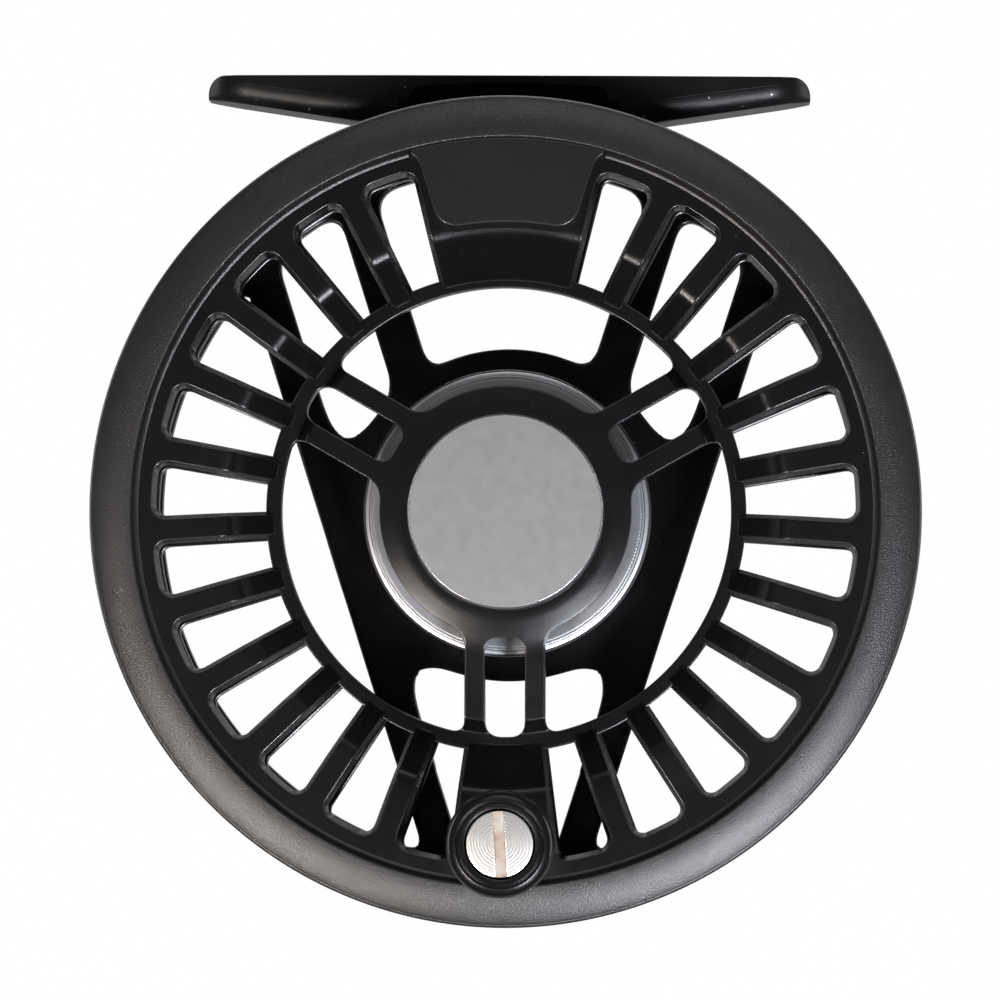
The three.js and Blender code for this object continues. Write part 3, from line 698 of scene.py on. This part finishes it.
def build_hub():
    radii = np.unique(np.round(np.concatenate([
        np.arange(HUB_BORE - 0.3, ARBOR_RADIUS + 0.4, 0.3), HUB_PROFILE[1:-1, 0]]), 3))
    shape = cut_plate(
        polar_grid(radii, full_turn(612)), hub_field, interpolate(HUB_PROFILE),
        interpolate(HUB_BACK_PROFILE), cell=0.26, bevel=0.11, wrap=True)
    make_piece("spool_spider", shape, [black_satin, black_edge_wear_and_highlight], "spool",
               ["spool_hub"])
    bore, barrel = 8.85, 11
    shape = turned([
        (bore, 3.9, 0), (HUB_BORE + 0.5, 3.9, 0), (HUB_BORE + 0.5, 6.4, 0.2), (barrel, 6.9, 0.2),
        (barrel, 10.6, 0.2), (bore, 10.6, 0.1),
    ], segments=120, steps=2)
    make_piece("spool_hub_barrel", shape, [black_satin], "spool")


PAD_INNER = 32.95
PAD_OUTER = 42.62


def pad_field(points):
    """The counterweight pad: a sector with round lower corners that flares into the rim."""
    radius = length2(points)
    angle = np.abs(np.degrees(np.arctan2(points[..., 0], points[..., 1])))
    half_angle = 13.4 + (radius - 33) * 0.09
    side = (angle - half_angle) * math.pi / 180 * radius
    body = rounded_both(side, PAD_INNER - radius, 2.4)
    flared = smooth_union(body, PAD_OUTER + 0.13 - radius, 2.6)
    return np.maximum(flared, np.maximum(radius - PAD_OUTER, angle - 22))


def build_pad():
    grid = polar_grid(np.arange(32.4, 43, 0.22), np.radians(np.arange(-20, 20.01, 0.3)))
    shape = cut_plate(
        grid, pad_field, level_at(0.02), level_at(1.3), cell=0.2, bevel=0.14, draft=0.6)
    make_piece("counterweight_cover", shape, [black_pad, black_edge_wear_and_highlight], "spool",
               ["counterweight_pad"])


def on_cap_chamfer(corners):
    """Whether a face of the cap, given by its corners, lies on the bright chamfer."""
    depth, radius = np.mean(corners[:, 1]), np.mean(np.hypot(corners[:, 0], corners[:, 2]))
    return abs(depth - CAP_FRONT - 0.12) < 0.13 and radius > CAP_RADIUS - 0.3


def build_cap():
    sleeve, bore = 7.9, 6.6
    verts, faces = turned(disc_profile([
        (0, CAP_FRONT, 0), (CAP_RADIUS - 0.27, CAP_FRONT, 0.03), (CAP_RADIUS, CAP_FRONT + 0.25, 0.06),
        (CAP_RADIUS, 3.5, 0.1), (sleeve, 3.5, 0), (sleeve, 6, 0.1), (bore, 6, 0.1), (bore, 3, 0),
        (0, 3, 0),
    ]), segments=240, steps=3)
    chamfer = [int(on_cap_chamfer(verts[list(face)])) for face in faces]
    make_piece("release_cap", (verts, faces, chamfer), [silver_satin, silver_edge], "release_cap",
               ["spool_cap"], sharp=25)


# ---- Handle ----
handle_low, handle_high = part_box("handle_knob")
HANDLE_AT = tuple(((handle_low[k] + handle_high[k]) / 2 - AXIS[k]) / MM for k in (0, 2))


def build_handle():
    tip, foot, bore = HANDLE_TIP, HANDLE_FOOT, 3.2
    shape = turned([
        (bore, foot, 0), (4.3, foot, 0.2), (4.8, foot - 0.9, 0.4), (3.9, foot - 4.7, 2.5),
        (4.15, foot - 9, 2.5), (5.2, tip + 5.5, 2.5), (6.0, tip + 2.6, 0.9),
        (HANDLE_RADIUS, tip + 1.3, 0.4), (5.75, tip + 0.35, 0.4), (4.95, tip + 0.02, 0.15),
        (4.82, tip + 0.22, 0.05), (4.7, tip + 0.22, 0.05), (4.6, tip + 0.04, 0.06),
        (4.12, tip + 0.08, 0.06), (3.98, tip + 0.3, 0.08), (3.98, tip + 3, 0), (bore, tip + 3, 0),
    ], segments=144, steps=4, centre=HANDLE_AT)
    make_piece("handle_grip", shape, [black_satin], "handle", ["handle_knob"])
    shape = turned([
        (2.2, 1.3, 0), (5.4, 1.3, 0), (5.4, 0.25, 0.25), (2.2, 0.25, 0.1),
    ], segments=96, steps=3, centre=HANDLE_AT)
    make_piece("handle_boss", shape, [black_satin], "spool")


screw_metal = turned_metal(
    "screw_metal", (0.8, 0.78, 0.75), (0.97, 0.96, 0.94), 0.3, lines=900,
    centre=tuple(Vector((HANDLE_AT[0], 0, HANDLE_AT[1])) * MM + AXIS))


def slotted_field(radius, half_slot, tilt):
    def field(points):
        across, _ = turn_frame(points, tilt)
        return np.maximum(length2(points) - radius, half_slot - np.abs(across))
    return field


def hex_field(radius, half_flats):
    def field(points):
        hexagon = np.max([np.abs(turn_frame(points, a)[0]) for a in (0, 60, 120)], 0) - half_flats
        return np.maximum(length2(points) - radius, -hexagon)
    return field


def screw_head(name, field, radius, thickness, recess, materials, body, nodes, matrix):
    """A screw head facing the front of its own frame, with a socket down to a floor, and its shank."""
    grid = square_grid(radius + 0.3, -radius - 0.3, radius + 0.3, radius / 26)
    shape = cut_plate(
        grid, field, lambda points: 0.012 * length2(points) ** 2, level_at(recess + 0.1),
        cell=radius / 28, bevel=0.09, bevel_steps=2)
    top, floor = materials
    make_piece(name, shape, [top, top], body, nodes, matrix=matrix)
    shape = turned(disc_profile([
        (0, recess, 0), (radius - 0.05, recess, 0.0), (radius - 0.05, thickness, 0.1), (0, thickness, 0),
    ]), segments=72, steps=2)
    make_piece(name + "_floor", shape, [floor], body, matrix=matrix)


def build_handle_screw():
    at = Matrix.Translation((HANDLE_AT[0], HANDLE_TIP + 0.45, HANDLE_AT[1]))
    radius = 3.74
    screw_head("handle_screw_head", slotted_field(radius, 0.6, -3.6), radius, 2.4, 0.3,
               (screw_metal, slot_dirt), "spool", ["handle_screw"], at)


# ---- Drag housing ----
def groove_wave(teeth, height):
    """Makes the narrow groove near the edge of the drag cover wavy."""
    def wave(angle, radius, depth):
        return height * np.cos(teeth * angle) * ((radius > 15.44) & (radius < 15.62) & (depth < 12))
    return wave


def build_housing():
    radius, inner, back = HOUSING_RADIUS, 15.0, 23.9
    shape = turned([
        (inner, 12.42, 0), (inner + 1, 12.42, 0.05), (radius - 0.22, 12.5, 0.08), (radius, 12.8, 0.1),
        (radius, 14.4, 0.06), (radius - 0.25, 14.55, 0.05), (radius - 0.25, 14.8, 0.05),
        (radius, 14.95, 0.06), (radius, 22.8, 0.1), (radius - 0.5, 23.4, 0.1), (radius - 0.5, back, 0),
        (inner, back, 0),
    ], segments=240, steps=3)
    make_piece("housing_shell", shape, [silver_bright], "frame", ["drag_housing"])
    front, bore = 11.0, 9.4
    shape = turned([
        (bore, front, 0.15), (15.36, front, 0), (15.47, front, 0.02), (15.5, front + 0.06, 0.02),
        (15.57, front + 0.06, 0.02), (15.6, front, 0.02), (15.84, front + 0.02, 0.03),
        (15.93, front + 0.12, 0.03), (15.93, 12.4, 0.04), (15.5, 12.41, 0.04), (bore, 12.4, 0.1),
    ], segments=960, steps=2, wave=groove_wave(240, 0.06))
    make_piece("housing_cover", shape, [silver_bright], "frame", ["drag_cover"])


# ---- Frame ----
TILT = 17.6
DISC_RADIUS = 19.3
RING_INNER = 40.62
BAND_OFFSET = 19.2
BAND_HALF = 2.1
ARM_OFFSET = 6.25
ARM_HALF = 2.35
SCREW_CIRCLE = 13.7


def frame_field(points):
    """The skeleton back plate: outer ring, hub disc, two long bands and two short upper arms."""
    radius = length2(points)
    ring = np.maximum(radius - FRAME_RADIUS + 0.05, RING_INNER - radius)
    shape = smooth_union(ring, radius - DISC_RADIUS, 0.5)
    for side in (-1, 1):
        across, along = turn_frame(points, side * TILT)
        across = across * side
        band = np.maximum(np.abs(across - BAND_OFFSET) - BAND_HALF, np.abs(along) - 39)
        arm = np.maximum(np.abs(across - ARM_OFFSET) - ARM_HALF, np.maximum(8 - along, along - 42))
        notch = smooth_union(radius - DISC_RADIUS, BAND_OFFSET - BAND_HALF - across, 7.6)
        web = np.maximum(notch, np.maximum(across - 18.6, np.abs(along) - 26))
        shape = smooth_union(smooth_union(smooth_union(shape, band, 2.6), arm, 3.2), web, 0.4)
    return np.maximum(shape, radius - FRAME_RADIUS + 0.05)


def build_back_plate():
    grid = square_grid(FRAME_RADIUS + 0.8, -FRAME_RADIUS - 0.8, FRAME_RADIUS + 0.8, 0.5)

    def field(points):
        return np.maximum(frame_field(points), 8.7 - length2(points))

    shape = cut_plate(
        grid, field, level_at(PLATE_FRONT), level_at(PLATE_BACK), cell=0.5, bevel=0.3)
    make_piece("frame_plate", shape, [black_frame, black_edge_wear_and_highlight], "frame",
               ["frame_back_plate"])


def build_boss():
    """The round boss behind the hub disc, with holes for the housing screws."""
    holes = [
        np.array([SCREW_CIRCLE * math.sin(math.radians(a)), SCREW_CIRCLE * math.cos(math.radians(a))])
        for a in STRUT_ANGLES]

    def field(points):
        radius = length2(points)
        near = np.min([length2(points - hole) for hole in holes], 0)
        return np.maximum(np.maximum(radius - 17.4, 8.6 - radius), 2.05 - near)

    shape = cut_plate(
        square_grid(18, -18, 18, 0.4), field, level_at(PLATE_BACK - 0.3), level_at(BOSS_BACK), cell=0.4,
        bevel=0.2)
    make_piece("frame_boss", shape, [black_frame, black_edge_wear_and_highlight], "frame")


def build_band_bosses():
    """A low round boss on each long band of the back plate."""
    for side, name in ((-1, "frame_band_boss_left"), (1, "frame_band_boss_right")):
        shape = turned(disc_profile([
            (0, PLATE_FRONT - 0.12, 0), (2, PLATE_FRONT - 0.12, 0.15), (2.2, PLATE_FRONT + 0.2, 0),
            (0, PLATE_FRONT + 0.2, 0),
        ]), segments=48, steps=3, centre=(side * 28.3, 25.2))
        make_piece(name, shape, [black_frame], "frame")


CAGE_INNER = 44.05
CAGE_OUTER = 46.05
CAGE_MIDDLE = 45


def build_front_ring():
    front, back = depth_range("frame_front_ring")
    outer, inner = CAGE_OUTER + 0.05, CAGE_INNER - 0.45
    shape = turned([
        (inner, front, 0.3), (outer, front, 0.3), (outer, back, 0.2), (inner, back, 0.4),
    ], segments=240, steps=3)
    make_piece("frame_ring", shape, [black_frame], "frame", ["frame_front_ring"])


def pillar_loop(angle, depth, edge):
    """A pillar's section at one depth, wider by a fillet near its ends. edge is the way to the nearer."""
    flare = 2.2 * max(0.0, 1 - max(edge, 0) / 2.4) ** 2.2
    half = (math.radians(5.1) + flare / CAGE_MIDDLE) * CAGE_MIDDLE
    section = rounded_path([
        (-half, CAGE_INNER, 0.5), (half, CAGE_INNER, 0.5), (half, CAGE_OUTER, 0.7),
        (-half, CAGE_OUTER, 0.7),
    ])
    turn = angle + section[:, 0] / CAGE_MIDDLE
    x, z = section[:, 1] * np.sin(turn), section[:, 1] * np.cos(turn)
    return np.stack([x, np.full(len(turn), depth), z], -1)


def build_pillars():
    for number in range(1, 5):
        node = f"frame_pillar_{number}"
        low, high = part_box(node)
        middle = (low + high) / 2
        angle = math.atan2(middle.x - AXIS.x, middle.z - AXIS.z)
        start, end = depth_range(node)
        loops = []
        for t in np.linspace(0, 1, 29):
            depth = start - 0.1 + t * (end - start + 0.2)
            loops.append(pillar_loop(angle, depth, min(depth - start, end - depth)))
        make_piece(f"cage_pillar_{number}", loft(loops), [black_frame], "frame", [node],
                   sharp=50)


def build_bridge():
    """The block under the foot that joins it to the cage."""
    start, end = depth_range("frame_foot_bridge")
    half_width = radius_of("frame_foot_bridge")

    def field(points):
        side = np.abs(points[..., 0]) - half_width
        return rounded_both(np.maximum(side, 44.15 - length2(points)), points[..., 1] - 46.3, 0.5)

    shape = cut_plate(
        square_grid(half_width + 0.6, 41.5, 47, 0.35), field, level_at(start - 0.05),
        level_at(end + 0.05), cell=0.35, bevel=0.2)
    make_piece("foot_bridge", shape, [black_frame, black_edge_wear_and_highlight], "frame",
               ["frame_foot_bridge"])


# ---- Reel foot ----
foot_low, foot_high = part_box("reel_foot")
FOOT_HALF = (foot_high.x - foot_low.x) / 2 / MM
FOOT_HALF_WIDTH = (foot_high.y - foot_low.y) / 2 / MM
FOOT_MID = ((foot_low.y + foot_high.y) / 2 - AXIS.y) / MM
SEAT = -AXIS.z / MM
BLOCK_HALF = 12.8
ARCH_HALF = 11.45
ARCH_ROUNDING = 1.3
TIP_ROUNDING = 2.0
TIP_TAPER = 4.5


def side_below_arch(half, span, under):
    """The foot's side in its middle part: a lip whose ends curve down, and a bevel to the underside."""
    corner = min(max(0.0, span - ARCH_HALF + ARCH_ROUNDING) / ARCH_ROUNDING, 1.0)
    lip = -0.25 - span ** 2 / 250 - ARCH_ROUNDING * (1 - math.sqrt(1 - corner ** 2))
    bevel = [(half - (lip - z) * 0.9, z) for z in np.linspace(lip - 0.1, under, 10)]
    return [(half, lip), (half - 0.06, lip - 0.05)] + bevel


def side_below_crease(half, span, edge, under):
    """The foot's side along its arms: upright to a crease, then rounded in to the underside."""
    height = edge - under
    crease = float(np.interp(span, [12.3, 19.7, 31.4, FOOT_HALF], [-3.1, -1.85, -0.3, 0.0]))
    corner = min(max(crease, under + 0.4 * height), edge - 0.3 * height)
    side = [(half, corner + 0.04), (half - 0.02, corner)]
    for turn in np.linspace(0.22, 1.5, 10):
        sink = (math.sin(turn) - math.sin(0.2)) / (1 - math.sin(0.2))
        inwards = 0.24 * half * (math.cos(0.2) - math.cos(turn))
        side.append((half - inwards, corner + (under - corner) * sink))
    return side


def foot_section(x):
    """The foot's section at x, from the middle of the saddle round and back, in depth and height."""
    span = abs(x)
    taper = max(0.0, (span - (FOOT_HALF - TIP_TAPER)) / TIP_TAPER)
    width = float(np.interp(span, [0, 14, 31, FOOT_HALF], [FOOT_HALF_WIDTH, FOOT_HALF_WIDTH, 6.0, 5.5]))
    half = width * math.sqrt(max(1 - (taper * 0.86) ** 2.4, 0.02))
    past = min(max(0.0, span - (FOOT_HALF - TIP_ROUNDING)) / TIP_ROUNDING, 1.0)
    drop = 2.1 * (1 - math.sqrt(1 - past ** 2))
    under = -3.4
    if span >= BLOCK_HALF:
        under = float(np.interp(span, [BLOCK_HALF, 18.5, FOOT_HALF], [-5.3, -4.5, -2.1]))

    def saddle(y):
        return 0.6 * min(abs(y) / half, 1.0) ** 2.2 - drop

    edge = saddle(half)
    points = [(y, saddle(y)) for y in np.linspace(0, half - 0.35, 12)]
    points += [(half - 0.1, edge - 0.03), (half, edge - 0.12)]
    if span < ARCH_HALF:
        points += side_below_arch(half, span, under)
    else:
        points += side_below_crease(half, span, edge, under)
    points += [(half * 0.5, under), (0, under)]
    return points + [(-y, z) for y, z in reversed(points[1:-1])]


def foot_stations():
    """Where the foot's sections stand: evenly, and close together at its tips, arch and steps."""
    tips = [FOOT_HALF - TIP_ROUNDING * (1 - math.sin(t)) for t in np.linspace(0, 1.5, 12)]
    arch = [ARCH_HALF - ARCH_ROUNDING * (1 - math.sin(t)) for t in np.linspace(0, 1.55, 8)]
    close = tips + arch + [11.46, 11.6, 12.7, 12.78, 12.82, 13.0]
    even = np.linspace(-FOOT_HALF + 0.02, FOOT_HALF - 0.02, 60)
    return np.unique(np.round(np.concatenate([even, close, [-x for x in close]]), 3))


def countersink(foot, x):
    """Cuts the conical seat of a foot screw at x."""
    bpy.ops.mesh.primitive_cone_add(vertices=64, radius1=1.7 * MM, radius2=2.95 * MM, depth=1.5 * MM,
                                    location=(x * MM, 0, -0.4 * MM))
    cutter = bpy.context.object
    hole = foot.modifiers.new("countersink", "BOOLEAN")
    hole.operation = "DIFFERENCE"
    hole.solver = "EXACT"
    hole.object = cutter
    bpy.context.view_layer.objects.active = foot
    foot.select_set(True)
    bpy.ops.object.modifier_move_to_index(modifier="countersink", index=0)
    bpy.ops.object.modifier_apply(modifier="countersink")
    bpy.data.objects.remove(cutter)


def build_foot():
    loops = [[(x, FOOT_MID + y, SEAT + z) for y, z in foot_section(x)] for x in foot_stations()]
    foot = make_piece("foot", loft(loops), [black_foot], "frame", ["reel_foot"],
                      sharp=38)
    for node in ("foot_screw_1", "foot_screw_2"):
        low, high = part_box(node)
        x = (low.x + high.x) / 2 / MM
        countersink(foot, x)
        at = Matrix.Translation((x, -AXIS.y / MM, SEAT - 0.3))
        screw_head(node + "_head", hex_field(2.65, 1.1), 2.65, 1.2, 0.85, (steel, steel), "frame", [node],
                   at @ Matrix.Rotation(math.radians(-90), 4, "X"))


def foot_black():
    """Black anodising with bare metal showing at a few small chips."""
    material, tree, shader, coords = new_material("black_foot")
    cloud = noise(tree, coords, 120, 3)
    tone = ramp(tree, cloud, [(0.3, (0.005, 0.005, 0.006)), (0.7, (0.008, 0.008, 0.009))])
    chips = noise(tree, coords, 620, 5, 0.7)
    chipped = ramp(tree, chips, [(0.68, grey(0)), (0.695, grey(1))])
    tree.links.new(mix(tree, chipped, tone, (0.42, 0.41, 0.4)), shader.inputs["Base Color"])
    tree.links.new(chipped, shader.inputs["Metallic"])
    tree.links.new(stretch(tree, noise(tree, coords, 300, 4), 0.24, 0.36), shader.inputs["Roughness"])
    shader.inputs["Specular IOR Level"].default_value = 0.13
    bump(tree, shader, noise(tree, coords, 4200, 2), 0.00001)
    return material


black_foot = foot_black()


# ---- Drag knob ----
def build_knob():
    """The drag knob, with scallops round its outside."""
    scallops = 12
    scallop_start = (KNOB_FRONT + 1.5 + KNOB_BACK) / 2 - 4.5

    def scallop(angle, radius, depth):
        wave = 0.5 + 0.5 * np.cos(scallops * angle)
        fade = np.clip((depth - 30.4) / 0.8, 0, 1) * np.clip((radius - 9.2) / 1.6, 0, 1)
        return -1.1 * wave ** 1.6 * fade * (depth > scallop_start)

    bore, well, back = 1.9, 4.1, KNOB_BACK - 0.05
    shape = turned([
        (bore, 27.1, 0), (8.1, 27.1, 0.1), (8.1, 28.6, 0), (9, 28.6, 0.1), (9, 29.4, 0), (10.8, 29.4, 0),
        (10.8, 28.6, 0.1), (KNOB_RADIUS, 29.0, 0.25), (KNOB_RADIUS, 30.3, 0.1), (KNOB_RADIUS, 30.5, 0.1),
        (KNOB_RADIUS, 31.3, 0.2), (KNOB_RADIUS, 33.4, 0.2), (KNOB_RADIUS, KNOB_BACK - 0.9, 0.4),
        (KNOB_RADIUS - 0.9, back, 0.4), (6.6, back, 0.3), (5.6, KNOB_BACK - 0.6, 0.4),
        (well, KNOB_BACK - 0.6, 0.15), (well, 34.4, 0), (bore, 34.4, 0),
    ], segments=288, steps=4, wave=scallop)
    make_piece("knob", shape, [black_satin], "drag_knob", ["drag_knob"])


def build_rear_screws():
    """The screw of the drag knob and the three that hold the drag housing."""
    facing_back = Matrix.Rotation(math.pi, 4, "Z")
    screw_head("knob_screw_head", hex_field(3.75, 1.35), 3.75, 1.6, 1.1, (steel, steel), "frame",
               ["knob_screw"], Matrix.Translation((0, 36.2, 0)) @ facing_back)
    for number in range(1, 4):
        node = f"housing_screw_{number}"
        low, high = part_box(node)
        at = Vector(((low.x + high.x) / 2 - AXIS.x, high.y - AXIS.y, (low.z + high.z) / 2 - AXIS.z)) / MM
        screw_head(f"housing_screw_head_{number}", hex_field(1.8, 0.8), 1.8, 1.5, 0.8, (steel, steel),
                   "frame", [node], Matrix.Translation(at) @ facing_back)


build_spool_face()
build_rim()
build_rear_flange()
build_arbor()
build_hub()
build_pad()
build_cap()
build_handle()
build_handle_screw()
build_housing()
build_back_plate()
build_boss()
build_band_bosses()
build_front_ring()
build_pillars()
build_bridge()
build_foot()
build_knob()
build_rear_screws()

# ---- Inner CAD nodes keep their shape and take a finish from their slot ----
FINISHES = {"black_anodised": black_satin, "silver_anodised": silver_satin, "stainless_steel": steel,
            "carbon_fibre": carbon, "seal_rubber": rubber, "brass": brass}
for row in frame["record"]["subparts"]:
    node = frame["nodes"][row["node"]]
    node.data.materials.clear()
    node.data.materials.append(FINISHES[row["material_slot"]])

# ---- Stage, light and camera ----
centre = AXIS.copy()


def show(tree, to_camera, to_others, out):
    """Sends one shader to the camera and another to every other ray."""
    seen = tree.nodes.new("ShaderNodeLightPath")
    choose = tree.nodes.new("ShaderNodeMixShader")
    tree.links.new(seen.outputs["Is Camera Ray"], choose.inputs[0])
    tree.links.new(to_others.outputs[0], choose.inputs[1])
    tree.links.new(to_camera.outputs[0], choose.inputs[2])
    tree.links.new(choose.outputs[0], out.inputs["Surface"])


def build_stage():
    """A white floor below the reel, which only the camera sees."""
    bpy.ops.mesh.primitive_circle_add(vertices=96, radius=3.0, fill_type="NGON", location=(0, 0, -0.3))
    floor = bpy.context.object
    floor.name = "floor"
    material, tree, shader, coords = new_material("floor_white")
    tone = ramp(tree, noise(tree, coords, 3, 2), [(0.3, grey(0.9)), (0.7, grey(0.92))])
    tree.links.new(tone, shader.inputs["Base Color"])
    shader.inputs["Roughness"].default_value = 0.8
    shader.inputs["Emission Color"].default_value = (1, 1, 1, 1)
    shader.inputs["Emission Strength"].default_value = 0.75
    clear = tree.nodes.new("ShaderNodeBsdfTransparent")
    show(tree, shader, clear, tree.nodes["Material Output"])
    floor.data.materials.append(material)


def build_world():
    """A white backdrop to the camera, and round the reel a dim front, dark sides and a bright back."""
    world = bpy.data.worlds.new("studio")
    bpy.context.scene.world = world
    world.use_nodes = True
    tree = world.node_tree
    tree.nodes.clear()
    out = tree.nodes.new("ShaderNodeOutputWorld")
    coords = tree.nodes.new("ShaderNodeTexCoord")
    split = tree.nodes.new("ShaderNodeSeparateXYZ")
    tree.links.new(coords.outputs["Generated"], split.inputs[0])
    half = tree.nodes.new("ShaderNodeMapRange")
    half.inputs["From Min"].default_value = -1
    tree.links.new(split.outputs["Y"], half.inputs["Value"])
    around = ramp(tree, half.outputs["Result"], [
        (0.0, grey(0.12)), (0.04, grey(0.17)), (0.13, grey(0.24)), (0.3, grey(0.06)),
        (0.43, grey(0.03)), (0.52, grey(0.1)), (0.64, grey(0.24)), (1.0, grey(0.4)),
    ])
    studio = tree.nodes.new("ShaderNodeBackground")
    tree.links.new(around, studio.inputs["Color"])
    backdrop = tree.nodes.new("ShaderNodeBackground")
    backdrop.inputs["Color"].default_value = (1, 1, 1, 1)
    show(tree, backdrop, studio, out)


def softbox(name, position, size, power, tint=(1, 1, 1)):
    """A soft light at a position from the middle of the spool, facing it."""
    light = bpy.data.lights.new(name, "AREA")
    light.shape = "RECTANGLE"
    light.size = size[0]
    light.size_y = size[1]
    light.energy = power
    light.color = tint
    lamp = bpy.data.objects.new(name, light)
    bpy.context.scene.collection.objects.link(lamp)
    lamp.location = centre + Vector(position)
    lamp.rotation_euler = (-Vector(position)).to_track_quat("-Z", "Y").to_euler()


def build_lights():
    softbox("low_left", (-0.188, -0.41, -0.214), (0.085, 0.13), 1.65, (1.0, 0.92, 0.85))
    softbox("low_right", (0.16, -0.41, -0.236), (0.085, 0.13), 2.4, (0.9, 0.92, 1.0))
    softbox("high_front", (0.04, -0.36, 0.36), (0.3, 0.12), 0.25)
    softbox("top_back", (0, 0.3, 0.5), (0.8, 0.4), 1.6)
    softbox("left", (-0.6, 0.1, 0.05), (0.3, 0.5), 1.5)
    softbox("right", (0.6, 0.1, 0.05), (0.3, 0.5), 1.5)


def build_camera():
    """A long lens a little below and to the right of the spool's axis."""
    distance, seen_width = 0.88, 0.1139
    azimuth, elevation = math.radians(1.25), math.radians(-1.25)
    level = math.cos(elevation)
    back = Vector((math.sin(azimuth) * level, -math.cos(azimuth) * level, math.sin(elevation)))
    camera = bpy.data.cameras.new("camera")
    camera.sensor_width = 36
    camera.lens = camera.sensor_width * distance / seen_width
    camera.clip_start, camera.clip_end = 0.05, 20
    eye = bpy.data.objects.new("camera", camera)
    bpy.context.scene.collection.objects.link(eye)
    target = centre + Vector((-0.57, 0, 1.25)) * MM
    eye.location = target + back * distance
    roll = Quaternion((0, 0, 1), math.radians(0.28))
    eye.rotation_euler = ((-back).to_track_quat("-Z", "Y") @ roll).to_euler()
    bpy.context.scene.camera = eye


build_stage()
build_world()
build_lights()
build_camera()
bpy.context.scene.view_settings.view_transform = "Standard"
